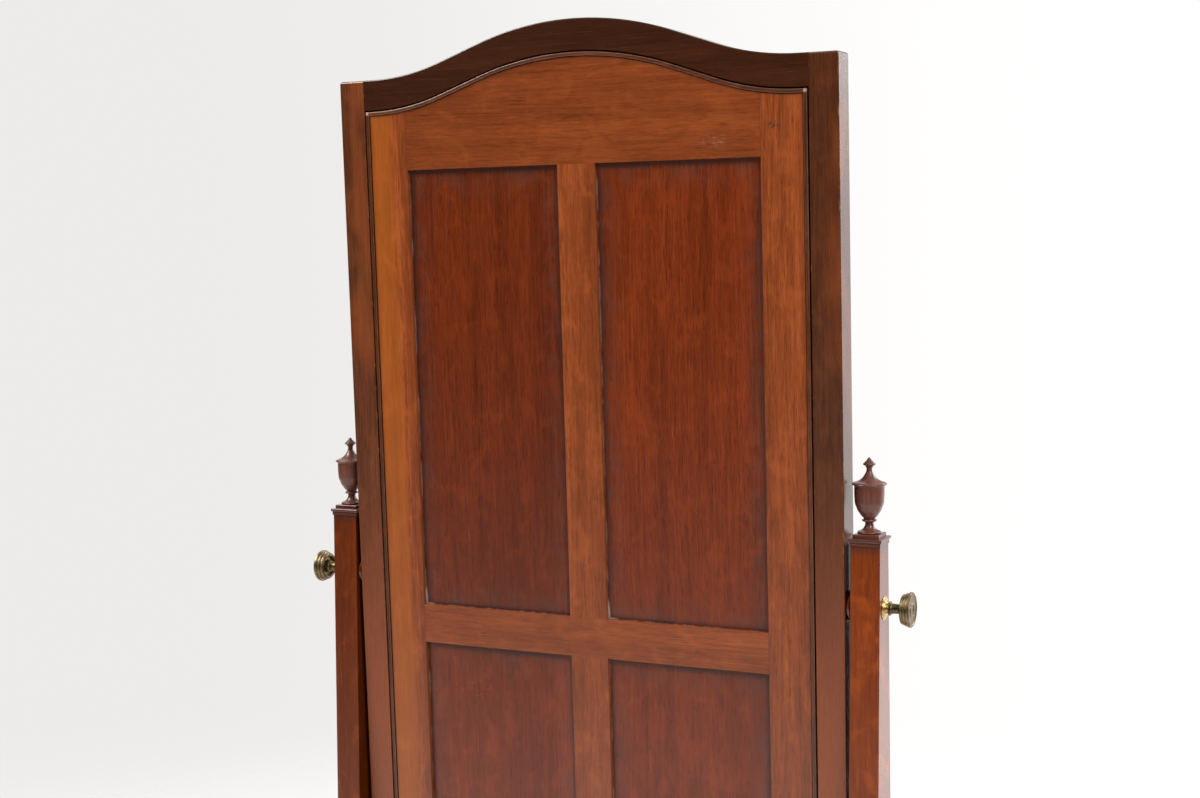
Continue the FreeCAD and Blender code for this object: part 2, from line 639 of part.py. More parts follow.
for row, low, high in (("upper", MID_TOP, "panel_top"), ("lower", FOOT_TOP, MID_LOW)):
    muntin = new_body(f"back_muntin_{row}")
    extrude(muntin, "XZ", BACK_INNER, BACK_FACE, oblong(f"-{MUNTIN_X}", low, MUNTIN_X, high))
    extrude(muntin, "XZ", PANEL_LOW, PANEL_HIGH,
            oblong(f"-{MUNTIN_X} - 1", f"{low} - 1", f"groove_deep - {MUNTIN_X}", f"{high} + 1"),
            oblong(f"{MUNTIN_X} - groove_deep", f"{low} - 1", f"{MUNTIN_X} + 1", f"{high} + 1"), cut=True)
    extrude(muntin, "XZ", PANEL_LOW, PANEL_HIGH,
            oblong(f"groove_deep - {MUNTIN_X}", f"{low} - {TONGUE_LONG}",
                   f"{MUNTIN_X} - groove_deep", f"{high} + {TONGUE_LONG}"))
    swing(muntin)
    for hand, sign in HANDS:
        panel = new_body(f"back_panel_{row}_{hand}")
        extrude(panel, "XZ", PANEL_LOW, PANEL_HIGH, flipped(
            oblong(f"{MUNTIN_X} - {TONGUE_LONG}", f"{low} - {TONGUE_LONG}",
                   f"panel_outer + {TONGUE_LONG}", f"{high} + {TONGUE_LONG}"), sign))
        swing(panel)

# ---- the cock bead, mitred at its corners ----

BEAD_OUT = f"({STILE_X} - quirk)"
BEAD_IN = f"({BEAD_OUT} - bead_wide)"
BEAD_OUT_DROP = "(rail_band + quirk)"
BEAD_IN_DROP = f"({BEAD_OUT_DROP} + bead_wide)"
BEAD_OUTLINES = {
    "crest": arch(BEAD_OUT, BEAD_OUT_DROP) + backwards(arch(BEAD_IN, BEAD_IN_DROP)),
    "foot": [(f"-{BEAD_OUT}", f"{BEAD_OUT_DROP} - frame_drop"), (BEAD_OUT, f"{BEAD_OUT_DROP} - frame_drop"),
             (BEAD_IN, f"{BEAD_IN_DROP} - frame_drop"), (f"-{BEAD_IN}", f"{BEAD_IN_DROP} - frame_drop")],
}
for hand, sign in HANDS:
    BEAD_OUTLINES[hand] = flipped([
        (BEAD_OUT, f"{BEAD_OUT_DROP} - frame_drop"), (BEAD_OUT, f"shoulder_rise - {BEAD_OUT_DROP}"),
        (BEAD_IN, f"shoulder_rise - {BEAD_IN_DROP}"), (BEAD_IN, f"{BEAD_IN_DROP} - frame_drop")], sign)
for place_name, outline in BEAD_OUTLINES.items():
    bead = new_body(f"back_bead_{place_name}")
    extrude(bead, "XZ", BEAD_Y, BEAD_TOP, outline)
    round_edges(bead, "bead_arris", lambda edge: lies(edge, y=(BEAD_TOP, BEAD_TOP))
                and edge.Length > size("2*bead_wide"))
    swing(bead)

# ---- the stand: uprights, caps and finials ----

MIDDLE_X = "(upright_inner + upright_wide/2)"
OUTER_X = "(upright_inner + upright_wide)"


def face_y(z):
    """Half the upright's depth at a height."""
    return f"(upright_slim/2 + upright_flare*(upright_top - ({z})))"


def cap_outline(over):
    """The upright's top, enlarged by an overhang."""
    return oblong(f"-upright_wide/2 - {over}", f"-upright_slim/2 - {over}",
                  f"upright_wide/2 + {over}", f"upright_slim/2 + {over}")


for hand, sign in HANDS:
    upright = new_body(f"upright_{hand}")
    extrude_side(upright, sign, "upright_inner", OUTER_X, [
        (f"-{face_y('upright_foot')}", "upright_foot"), (face_y("upright_foot"), "upright_foot"),
        (face_y("upright_top"), "upright_top"), (f"-{face_y('upright_top')}", "upright_top")])
    round_edges(upright, "upright_arris", lambda edge: edge.Length > size("upright_top - upright_foot") - 1
                or lies(edge, z=("upright_foot", "upright_foot")))
    extrude_side(upright, sign, "upright_inner - 1", f"{OUTER_X} + 1",
                 ("0", "pivot_height", "bore_radius"), cut=True)
    extrude(upright, "XY", "upright_top + cap_tall + step_tall - spigot_long - 1", "upright_top + 1",
            (f"{sign}*{MIDDLE_X}", "0", "spigot_radius"), cut=True)
    extrude_side(upright, sign, "upright_inner - 1", "upright_inner + stub_long",
                 oblong("-stub_thick/2", "stretcher_top - stretcher_tall + stub_shoulder",
                        "stub_thick/2", "stretcher_top - stub_shoulder"), cut=True)
    for end, way in ENDS:
        near, far = f"{face_y('dowel_low')} - dowel_long/2 - 1", f"{face_y('upright_foot')} + 1"
        low, high = (near, far) if way > 0 else (f"-({far})", f"-({near})")
        extrude(upright, "XZ", low, high, (f"{sign}*{MIDDLE_X}", "dowel_low", "dowel_radius"),
                (f"{sign}*{MIDDLE_X}", "dowel_high", "dowel_radius"), cut=True)
    place(upright, ("0", "0", "0"))

    cap = new_body(f"upright_cap_{hand}")
    extrude(cap, "XY", "cap_band", "cap_tall", cap_outline("cap_over"))
    round_edges(cap, "cap_nose", lambda edge: lies(edge, z=("cap_band", "cap_band"))
                or lies(edge, z=("cap_tall", "cap_tall")))
    extrude(cap, "XY", "0", "cap_band", cap_outline("cap_band_over"))
    extrude(cap, "XY", "cap_tall", "cap_tall + step_tall",
            oblong("-step_wide/2", "-step_wide/2", "step_wide/2", "step_wide/2"))
    top = "cap_tall + step_tall"
    round_edges(cap, "step_nose", lambda edge: lies(edge, z=(top, top)))
    extrude(cap, "XY", "-1", f"{top} + 1", ("0", "0", "spigot_radius"), cut=True)
    place(cap, (f"{sign}*{MIDDLE_X}", "0", "upright_top"))


def urn(radius, height):
    """A corner of the finial's profile, as shares of its rim's radius and of its height."""
    return (f"{radius}*finial_wide/2", f"{height}*finial_tall")


def urn_arc(radius, height, curve, side):
    return urn(radius, height) + (f"{curve}*finial_tall", side)


SPIGOT = "spigot_radius - slack/3"
URN_PROFILE = [
    ("0", "-spigot_long"), (SPIGOT, "-spigot_long"), (SPIGOT, "0"),
    urn(0.56, 0), urn(0.62, 0.009), urn(0.62, 0.024), urn(0.58, 0.033),     # torus at the foot
    urn_arc(0.53, 0.033, 0.075, "right"), urn(0.27, 0.125),                 # hollow up to the neck
    urn(0.31, 0.157), urn(0.39, 0.167), urn(0.39, 0.184), urn(0.31, 0.197),     # ring under the bowl
    urn_arc(0.31, 0.203, 0.24, "left"),
    urn_arc(0.69, 0.33, 0.33, "left"),
    urn_arc(0.87, 0.495, 1.3, "left"), urn(0.85, 0.628),                    # bowl
    urn(0.93, 0.633), urn(1, 0.643), urn(1, 0.656), urn(0.95, 0.666),
    urn_arc(0.92, 0.668, 0.27, "right"), urn(0.16, 0.826),                  # rim and hollow lid
    urn_arc(0.16, 0.845, 0.12, "right"),
    urn(0.35, 0.905), urn(0.37, 0.912), urn(0.34, 0.92),                    # pointed knop
    urn(0.09, 0.985), urn(0, 1),
]
for hand, sign in HANDS:
    finial = new_body(f"finial_{hand}")
    turn_on_lathe(finial, "XZ", "V_Axis", URN_PROFILE)
    place(finial, (f"{sign}*{MIDDLE_X}", "0", "upright_top + cap_tall + step_tall"))

# ---- stretcher, legs and dowels ----

stretcher = new_body("stretcher")
extrude(stretcher, "XZ", "-stretcher_thick/2", "stretcher_thick/2", [
    ("upright_inner", "stretcher_top"), ("-upright_inner", "stretcher_top"),
    ("-upright_inner", "stretcher_top - stretcher_tall",
     "(upright_inner^2 + stretcher_arch^2)/(2*stretcher_arch)", "right"),
    ("upright_inner", "stretcher_top - stretcher_tall")])
round_edges(stretcher, "arris", lambda edge: lies(edge, z=("stretcher_top", "stretcher_top"))
            and edge.Length > size("upright_inner"))
for sign in (-1, 1):
    extrude_side(stretcher, sign, "upright_inner", "upright_inner + stub_long - slack",
                 oblong("-stub_thick/2", "stretcher_top - stretcher_tall + stub_shoulder",
                        "stub_thick/2", "stretcher_top - stub_shoulder"))
place(stretcher, ("0", "0", "0"))

TOE_TOP = "(toe_foot + toe_tall)"


def level_arc_radius(hip_z, toe_z):
    """Radius of the arc that starts on the upright and runs out level into the toe."""
    run = f"(toe_start - {face_y(hip_z)})"
    fall = f"({hip_z} - {toe_z})"
    return f"({run}^2 + {fall}^2)/(2*{fall})"


LEG_OUTLINE = [
    (face_y("hip_top"), "hip_top", level_arc_radius("hip_top", TOE_TOP), "left"),
    ("toe_start", TOE_TOP), ("toe_end", TOE_TOP), ("toe_end", "toe_foot"),
    ("toe_start", "toe_foot", level_arc_radius("hip_foot", "toe_foot"), "right"),
    (face_y("hip_foot"), "hip_foot"),
]
dowels = []
for end, way in ENDS:
    for hand, sign in HANDS:
        leg = new_body(f"leg_{end}_{hand}")
        middle = f"{sign}*{MIDDLE_X}"
        extrude(leg, "YZ", f"{middle} - leg_wide/2", f"{middle} + leg_wide/2", flipped(LEG_OUTLINE, way))
        chamfer_edges(leg, "leg_arris", lambda edge: edge.Length > size("toe_start - upright_slim"))
        near, far = "0", f"{face_y('dowel_low')} + dowel_long/2 + 1"
        low, high = (near, far) if way > 0 else (f"-({far})", near)
        extrude(leg, "XZ", low, high, (middle, "dowel_low", "dowel_radius"),
                (middle, "dowel_high", "dowel_radius"), cut=True)
        extrude(leg, "XY", "toe_foot - 1", f"{TOE_TOP} - 2", (middle, f"{way}*castor_out", "pin_radius + 0.4"),
                cut=True)
        place(leg, ("0", "0", "0"))
        for height in ("dowel_low", "dowel_high"):
            spot = (middle, f"{way}*({face_y(height)} - dowel_long/2)", height)
            dowels.append(rod(f"dowel_{end}_{hand}", "dowel_radius - slack/6", "dowel_long",
                              spot, (-way, 0, 0), "90"))
group("leg_dowels", dowels)

# ---- pivots and clamp screws ----

SEAT_X = f"({OUTER_X} + rosette_thick)"
STEM_X = f"({SEAT_X} + washer_thick)"
KNOB_FACE = "(knob_inner + knob_thick)"
BOSS_NOSE = "((upright_inner - frame_width/2 - boss_gap)/2)"
BOSS_PROFILE = [
    (f"{HALF} + boss_gap", "bore_radius"),
    (f"{HALF} + boss_gap", f"boss_radius - {BOSS_NOSE}", f"1.05*{BOSS_NOSE}", "right"),
    ("upright_inner", f"boss_radius - {BOSS_NOSE}"), ("upright_inner", "bore_radius")]
ROSETTE_PROFILE = [
    (OUTER_X, "bore_radius"), (OUTER_X, "rosette_radius"),
    (f"{OUTER_X} + 0.7", "rosette_radius", "1.1", "right"), (f"{OUTER_X} + 1.5", "rosette_radius - 1"),
    (f"{OUTER_X} + 1.5", "rosette_radius - 2.6"), (f"{OUTER_X} + 2.4", "rosette_radius - 3"),
    (f"{OUTER_X} + 2.4", "rosette_radius - 3.8"), (SEAT_X, "rosette_radius - 4.4"), (SEAT_X, "bore_radius")]
WASHER_PROFILE = [
    (SEAT_X, "bore_radius"), (SEAT_X, "washer_radius - 0.6"), (f"{SEAT_X} + 0.6", "washer_radius"),
    (f"{STEM_X} - 0.6", "washer_radius"), (STEM_X, "washer_radius - 0.6"), (STEM_X, "bore_radius")]
KNOB_PROFILE = [
    (STEM_X, "screw_radius"), (STEM_X, "stem_radius + 1.2"), (f"{STEM_X} + 1.6", "stem_radius + 1.2"),
    (f"{STEM_X} + 2.6", "stem_radius"), ("knob_inner - 6", "stem_radius", "7", "left"),
    ("knob_inner", "stem_radius + 5"), ("knob_inner", "knob_radius - 4"), ("knob_inner + 2.6", "knob_radius - 3.6"),
    ("knob_inner + 2.6", "knob_radius - 4.6"), ("knob_inner + 3.4", "knob_radius - 4.6"),
    ("knob_inner + 3.4", "knob_radius - 1", "1", "right"), ("knob_inner + 4.4", "knob_radius"),
    (f"{KNOB_FACE} - 1.1", "knob_radius", "1.1", "right"), (KNOB_FACE, "knob_radius - 1.1"),
    (KNOB_FACE, "knob_radius - 3"), (f"{KNOB_FACE} - 0.8", "knob_radius - 3.8"), (f"{KNOB_FACE} - 0.8", "8"),
    (KNOB_FACE, "7.2"), (KNOB_FACE, "5.8"), (f"{KNOB_FACE} - 0.8", "5"), (f"{KNOB_FACE} - 0.8", "3.4"),
    (f"{KNOB_FACE} - 0.1", "1.4"), (f"{KNOB_FACE} - 0.1", "0"),
    ("knob_inner + screw_seat", "0"), ("knob_inner + screw_seat", "screw_radius")]
SCREW = "screw_radius - screw_slack/2"
SCREW_PROFILE = [
    ("screw_end", "0"), ("screw_end", f"{SCREW} - 1"), ("screw_end + 1", SCREW),
    ("knob_inner + screw_seat", SCREW), ("knob_inner + screw_seat", "0")]
TURNINGS = (("pivot_boss", BOSS_PROFILE), ("rosette", ROSETTE_PROFILE), ("thrust_washer", WASHER_PROFILE),
            ("clamp_knob", KNOB_PROFILE), ("clamp_screw", SCREW_PROFILE))

plate_screws = []
for hand, sign in HANDS:
    for label, profile in TURNINGS:
        turning = new_body(f"{label}_{hand}")
        turn_on_lathe(turning, "XY", "H_Axis", flipped(profile, sign))
        place(turning, ("0", "0", "pivot_height"))

    outward = ((0, sign, 0), "90")
    inner_face = f"{sign}*({HALF} - plate_thick)"
    leaf = block(f"plate_leaf_{hand}", ("plate_thick", "plate_wide", "plate_tall"),
                 (f"{sign}*({HALF} - plate_thick/2)", "0", "0"))
    barrel = rod(f"plate_barrel_{hand}", "plate_boss - slack/6", "plate_boss_long",
                 (f"{sign}*({HALF} - plate_thick - plate_boss_long)", "0", "0"), *outward)
    thread = rod(f"plate_thread_{hand}", "screw_radius + screw_slack/2", "plate_boss_long + plate_thick + 2",
                 (f"{sign}*({HALF} - plate_thick - plate_boss_long - 1)", "0", "0"), *outward)
    holes = [thread]
    for row, share in (("low", -1), ("high", 1)):
        height = f"{share}*woodscrew_apart/2"
        start = (f"{sign}*({HALF} - woodscrew_long)", "0", height)
        sink = (f"{sign}*({HALF} - woodscrew_head_deep)", "0", height)
        holes.append(rod(f"plate_hole_{row}_{hand}", "woodscrew_radius", "woodscrew_long + 1", start, *outward))
        cones = []
        for kind, spare in (("sink", "slack/6"), ("head", "0")):
            cone = doc.addObject("Part::Cone", f"plate_{kind}_{row}_{hand}")
            cone.setExpression("Radius1", bound(f"woodscrew_radius - slack/2 + {spare}"))
            cone.setExpression("Radius2", bound(f"woodscrew_head - slack/3 + {spare}"))
            cone.setExpression("Height", bound("woodscrew_head_deep"))
            place(cone, sink, *outward)
            cones.append(cone)
        holes.append(cones[0])
        shank = rod(f"plate_shank_{row}_{hand}", "woodscrew_radius - slack/6",
                    "woodscrew_long - woodscrew_head_deep/2", start, *outward)
        plate_screws.append(joined(f"plate_screw_{row}_{hand}", [cones[1], shank]))
    swing(as_node(f"pivot_plate_{hand}", cut_from(
        f"pivot_plate_{hand}", joined(f"plate_solid_{hand}", [leaf, barrel]),
        joined(f"plate_holes_{hand}", holes))))
swing(group("pivot_plate_screws", plate_screws))

# ---- castors ----

CUP_LOW = "(toe_foot - cup_wall)"
CUP_FOOT = f"({CUP_LOW} - cup_boss_tall)"
CROWN_TOP = f"({CUP_FOOT} - swivel_gap)"
CROWN_LOW = f"({CROWN_TOP} - crown_thick)"
CHEEK_OUTER = "(cheek_inner + cheek_thick)"

WHEEL_PROFILE = [
    ("axle_radius", "-hub_half"), ("0.4*wheel_radius", "-hub_half"), ("0.45*wheel_radius", "-0.6*tread_half"),
    ("0.72*wheel_radius", "-0.6*tread_half"), ("0.78*wheel_radius", "-tread_half"),
    ("wheel_radius - 1.2", "-tread_half", "1.2", "left"), ("wheel_radius", "1.2 - tread_half"),
    ("wheel_radius", "tread_half - 1.2", "1.2", "left"), ("wheel_radius - 1.2", "tread_half"),
    ("0.78*wheel_radius", "tread_half"), ("0.72*wheel_radius", "0.6*tread_half"),
    ("0.45*wheel_radius", "0.6*tread_half"), ("0.4*wheel_radius", "hub_half"), ("axle_radius", "hub_half")]
PIN = "(axle_radius - axle_slack)"
AXLE_PROFILE = [
    ("0", f"-{CHEEK_OUTER} - 1.4"), ("0.6*rivet_radius", f"-{CHEEK_OUTER} - 1.2"),
    ("rivet_radius", f"-{CHEEK_OUTER}"), (PIN, f"-{CHEEK_OUTER}"), (PIN, CHEEK_OUTER),
    ("rivet_radius", CHEEK_OUTER), ("0.6*rivet_radius", f"{CHEEK_OUTER} + 1.2"), ("0", f"{CHEEK_OUTER} + 1.4")]

cups = []
for end, way in ENDS:
    for hand, sign in HANDS:
        corner = f"{end}_{hand}"
        middle = f"{sign}*{MIDDLE_X}"
        swivel_y = f"{way}*castor_out"
        trail_turn = f"-{way}*(90 - castor_turn)" if sign > 0 else f"180 + {way}*(90 - castor_turn)"
        trail_turn = trail_turn.replace("--", "")

        span = "(toe_end + cup_wall - toe_start - 4)"
        shell = block(f"cup_shell_{corner}", ("leg_wide + 2*cup_wall", span, "toe_tall + 2*cup_wall"),
                      (middle, f"{way}*(toe_end + cup_wall - {span}/2)", f"toe_foot + toe_tall/2"))
        hollow = block(f"cup_hollow_{corner}", ("leg_wide", "toe_end - toe_start", "toe_tall"),
                       (middle, f"{way}*(toe_end + toe_start)/2", "toe_foot + toe_tall/2"))
        round_boss = rod(f"cup_boss_{corner}", "cup_boss_radius", "cup_boss_tall + cup_wall/2",
                         (middle, swivel_y, CUP_FOOT))
        bore = rod(f"cup_bore_{corner}", "pin_radius + pin_slack", "cup_boss_tall + cup_wall + 2",
                   (middle, swivel_y, f"{CUP_FOOT} - 1"))
        cups.append(cut_from(f"cup_{corner}", joined(f"cup_solid_{corner}", [shell, round_boss]),
                             joined(f"cup_space_{corner}", [hollow, bore])))

        horn = new_body(f"castor_horn_{corner}")
        extrude(horn, "XY", CROWN_LOW, CROWN_TOP,
                oblong("-crown_half", f"-{CHEEK_OUTER}", "crown_half", CHEEK_OUTER))
        round_edges(horn, "crown_half/2", lambda edge: edge.Length < size("crown_thick") + 0.1
                    and not lies(edge, z=(CROWN_TOP, CROWN_TOP)) and not lies(edge, z=(CROWN_LOW, CROWN_LOW)))
        extrude(horn, "XY", CROWN_TOP, f"{CROWN_TOP} + pin_rise", ("0", "0", "pin_radius"))
        for low, high in (("cheek_inner", CHEEK_OUTER), (f"-{CHEEK_OUTER}", "-cheek_inner")):
            extrude(horn, "XZ", low, high, [
                ("-crown_half/2", f"{CROWN_LOW} + 1"), ("trail - cheek_eye", "wheel_radius", "1.05*cheek_eye", "left"),
                ("trail + cheek_eye", "wheel_radius"), ("crown_half/2 + cheek_eye/2", f"{CROWN_LOW} + 1")])
        extrude(horn, "XZ", f"-{CHEEK_OUTER} - 1", f"{CHEEK_OUTER} + 1",
                ("trail", "wheel_radius", "axle_radius"), cut=True)
        place(horn, (middle, swivel_y, "0"), (0, 0, 1), trail_turn)

        hub = (f"{middle} + trail*cos({trail_turn})", f"{swivel_y} + trail*sin({trail_turn})", "wheel_radius")
        for label, profile in (("castor_wheel", WHEEL_PROFILE), ("castor_axle", AXLE_PROFILE)):
            turning = new_body(f"{label}_{corner}")
            turn_on_lathe(turning, "XY", "V_Axis", profile)
            place(turning, hub, (0, 0, 1), trail_turn)
group("castor_cups", cups)

# ---- build, test and write ----

doc.recompute()
for item in doc.Objects:
    if "Invalid" in item.State or "Error" in item.State:
        raise RuntimeError(f"{item.Name} failed: {item.State}")
    if item.TypeId == "PartDesign::Pocket" and item.Shape.Volume > item.BaseFeature.Shape.Volume - 1:
        raise RuntimeError(f"{item.Name} cuts nothing")

os.makedirs("parts", exist_ok=True)
for node in NODES:
    if node.Shape.isNull() or not node.Shape.isValid():
        raise RuntimeError(f"{node.Label} has no sound shape")
    node.Shape.exportStep(f"parts/{node.Label}.step")
    print(node.Label, len(node.Shape.Solids), round(node.Shape.Volume))
print(len(NODES), "nodes")
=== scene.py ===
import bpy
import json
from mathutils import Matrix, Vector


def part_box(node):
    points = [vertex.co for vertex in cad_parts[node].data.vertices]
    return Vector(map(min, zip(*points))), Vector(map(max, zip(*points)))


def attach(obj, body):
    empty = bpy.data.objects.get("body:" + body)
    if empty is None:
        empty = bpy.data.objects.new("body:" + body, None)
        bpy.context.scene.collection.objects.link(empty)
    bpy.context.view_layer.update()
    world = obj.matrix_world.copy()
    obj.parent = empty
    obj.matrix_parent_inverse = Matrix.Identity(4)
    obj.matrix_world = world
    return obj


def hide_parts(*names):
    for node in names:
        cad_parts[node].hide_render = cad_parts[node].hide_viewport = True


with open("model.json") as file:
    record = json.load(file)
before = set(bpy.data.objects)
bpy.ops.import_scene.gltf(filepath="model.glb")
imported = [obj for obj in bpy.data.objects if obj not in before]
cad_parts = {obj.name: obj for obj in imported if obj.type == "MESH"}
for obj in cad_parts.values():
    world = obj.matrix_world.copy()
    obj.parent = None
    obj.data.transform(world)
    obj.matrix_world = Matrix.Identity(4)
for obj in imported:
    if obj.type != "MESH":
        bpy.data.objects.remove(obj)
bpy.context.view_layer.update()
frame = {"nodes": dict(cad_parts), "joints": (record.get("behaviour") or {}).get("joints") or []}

import functools
import json
import math

import bmesh
import bpy
from mathutils import Matrix, Vector

bl_info = {
    "name": "Cheval mirror",
    "version": (1, 0, 0),
    "blender": (4, 5, 0),
    "location": "3D View > Sidebar > Cheval mirror",
    "description": "Finishes an arched mahogany mirror that swings on a castored stand",
    "category": "Object",
}

MM = 0.001
TINY = 1e-7
TILT = next(joint for joint in frame["joints"] if joint["name"] == "mirror_tilt")
PIVOT_HEIGHT = TILT["pos_m"][2]
FRAME_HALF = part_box("frame_stile_right")[1].x
UPRIGHT_LOW, UPRIGHT_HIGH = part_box("upright_right")

# Names in the frame, with the sign of x for a hand and the sign of y for an end.
HANDS = (("left", -1), ("right", 1))
ENDS = (("front", -1), ("rear", 1))
CORNERS = [(f"{end}_{hand}", way, sign) for end, way in ENDS for hand, sign in HANDS]

# The wood's patterns, in waves per metre: twice across the grain, then along it.
SWELL, WARP, MOTTLE = (9, 9, 1.6), (4, 4, 2.2), (38, 38, 26)
RIBBON, STREAK, HAIR, VESSEL = (46, 46, 1.6), (340, 340, 13), (1250, 1250, 48), (1100, 1100, 75)
WARP_REACH = (12 * MM, 12 * MM, 0)
TONE_SPAN = 0.115   # how far the patterns' sum strays from its middle
SHEEN = 0.45        # the polish's specular level

# The wood's palest streaks and its flecks of light, as shares of the wood's own red, green and blue.
PALE_STREAK, FLECK = (1.5, 1.6, 1.55), (1.75, 1.9, 1.7)

# Old marks on the back: how far across and up from the pivot, and how far they reach both ways.
SCRATCHES = (155 * MM, -135 * MM), (40 * MM, 40 * MM)
SCUFFS = (-165 * MM, 502 * MM), (35 * MM, 12 * MM)
BRUISE = (-232.5 * MM, 516 * MM), (9 * MM, 6 * MM)


# ---- sizes and colours that a user may change ----

def length(name, description, default):
    """A size in metres."""
    return bpy.props.FloatProperty(name=name, description=description, default=default, min=0,
                                   unit="LENGTH")


def paint(code):
    """A linear colour from its six-figure code."""
    parts = [int(code[start:start + 2], 16) / 255 for start in (0, 2, 4)]
    return tuple(part / 12.92 if part <= 0.04045 else ((part + 0.055) / 1.055) ** 2.4 for part in parts)


def tint(name, description, code):
    """A colour of one finish."""
    return bpy.props.FloatVectorProperty(name=name, description=description, default=paint(code),
                                         size=3, min=0, max=1, subtype="COLOR")


class ChevalSizes(bpy.types.PropertyGroup):
    """Sizes of the pieces that are made here, and of the frame that they fit."""
    lean: bpy.props.FloatProperty(name="Lean", description="Lean of the hanging frame's top to the back",
                                  default=math.radians(1.6), subtype="ANGLE")
    shoulder: length("Shoulder", "Pivot to the frame's top corners", 589 * MM)
    drop: length("Drop", "Pivot to the frame's bottom edge", 704 * MM)
    half_depth: length("Half depth", "Half of the frame's thickness", 18 * MM)
    band: length("Stile band", "Frame stile behind the rebate", 32.5 * MM)
    rail_band: length("Rail band", "Frame rail behind the rebate", 35 * MM)
    crest_radius: length("Crest radius", "Top of the arch", 360 * MM)
    crest_run: length("Crest run", "Straight stretch between the arch's curves", 54 * MM)
    ogee_radius: length("Ogee radius", "Hollow curve between arch and shoulder", 281 * MM)
    slope: bpy.props.FloatProperty(name="Slope", description="Steepest slope of the arch",
                                   default=math.radians(19.2), subtype="ANGLE")
    quirk: length("Quirk", "Groove outside the cock bead", 1.4 * MM)
    bead: length("Bead width", "Cock bead", 5.4 * MM)
    bead_crown: length("Bead crown", "What is left of the bead's width above its worn sides", 4.3 * MM)
    bead_deep: length("Bead depth", "Cock bead", 9 * MM)
    bead_proud: length("Bead proud", "Cock bead above the outer frame", 0.7 * MM)
    bead_arris: length("Bead arris", "Rounding of the cock bead", 1.1 * MM)
    panel_outer: length("Panels", "Middle of the back to a panel's outer edge", 218 * MM)
    muntin: length("Muntin", "Muntin and middle rail", 46 * MM)
    panel_top: length("Panel top", "Pivot to the top of the upper panels", 483 * MM)
    panel_tall: length("Panel height", "Each panel", 517 * MM)
    urn_rim: length("Urn rim", "Radius of the urn's rim", 18.2 * MM)
    urn_tall: length("Urn height", "Urn above its square step", 81.6 * MM)
    knob: length("Knob", "Radius of the clamp knob", 19 * MM)
    leg_round: length("Leg rounding", "Rounding of the legs' long edges", 2.4 * MM)


class ChevalColours(bpy.types.PropertyGroup):
    """The finishes' main colours."""
    frame_wood: tint("Outer frame", "Dark stained mahogany", "542a14")
    back_wood: tint("Back frame", "Orange mahogany of the back's rails and stiles", "8e4520")
    panel_wood: tint("Panels", "Red mahogany of the thin panels", "6b290d")
    gold_wood: tint("Golden wood", "The palest streaks of the back", "a5581c")
    stand_wood: tint("Stand", "Figured red mahogany", "7e350c")
    turned_wood: tint("Turnings", "Dark turned mahogany", "64362a")
    # The grime colour is real old polish and dirt at the joints, the bruise and the panels' rims, and painted
    # shade down the bead's sides and under the uprights' caps.
    grime: tint("Grime", "Old polish and dirt in the corners", "4a2f2c")
    # The dust colour is real pale dust in the quirks, the scuffs, the mitres and the panels' corners, and
    # painted highlight lines on the bead's arrises.
    dust: tint("Dust", "Pale dust in the quirks", "b9a294")
    bare_wood: tint("Worn wood", "Wood laid bare on the edges", "a8683c")
    brass_gold: tint("Bright brass", "Brass that is rubbed often", "dcb972")
    brass_light: tint("Brass", "Brass with a thin patina", "b9a47a")
    brass_dark: tint("Tarnish", "Tarnish in the hollows", "675840")
    steel: tint("Steel", "Screws", "77746e")
    pine: tint("Softwood", "Glass blocks", "b58a58")
    beech: tint("Beech", "Dowels", "b88d62")
    silver: tint("Silvering", "Looking glass", "c6cfcb")
    floor: tint("Floor", "Studio floor", "f2efec")


def sizes():
    return bpy.context.scene.cheval_sizes


def colours():
    return bpy.context.scene.cheval_colours


def toned(colour, share):
    """A colour made darker, or lighter where the share is over one."""
    return tuple(part * share for part in colour)


def hue(name, share=1.0):
    """One of the finishes' main colours, toned."""
    return toned(getattr(colours(), name), share)


# ---- materials ----

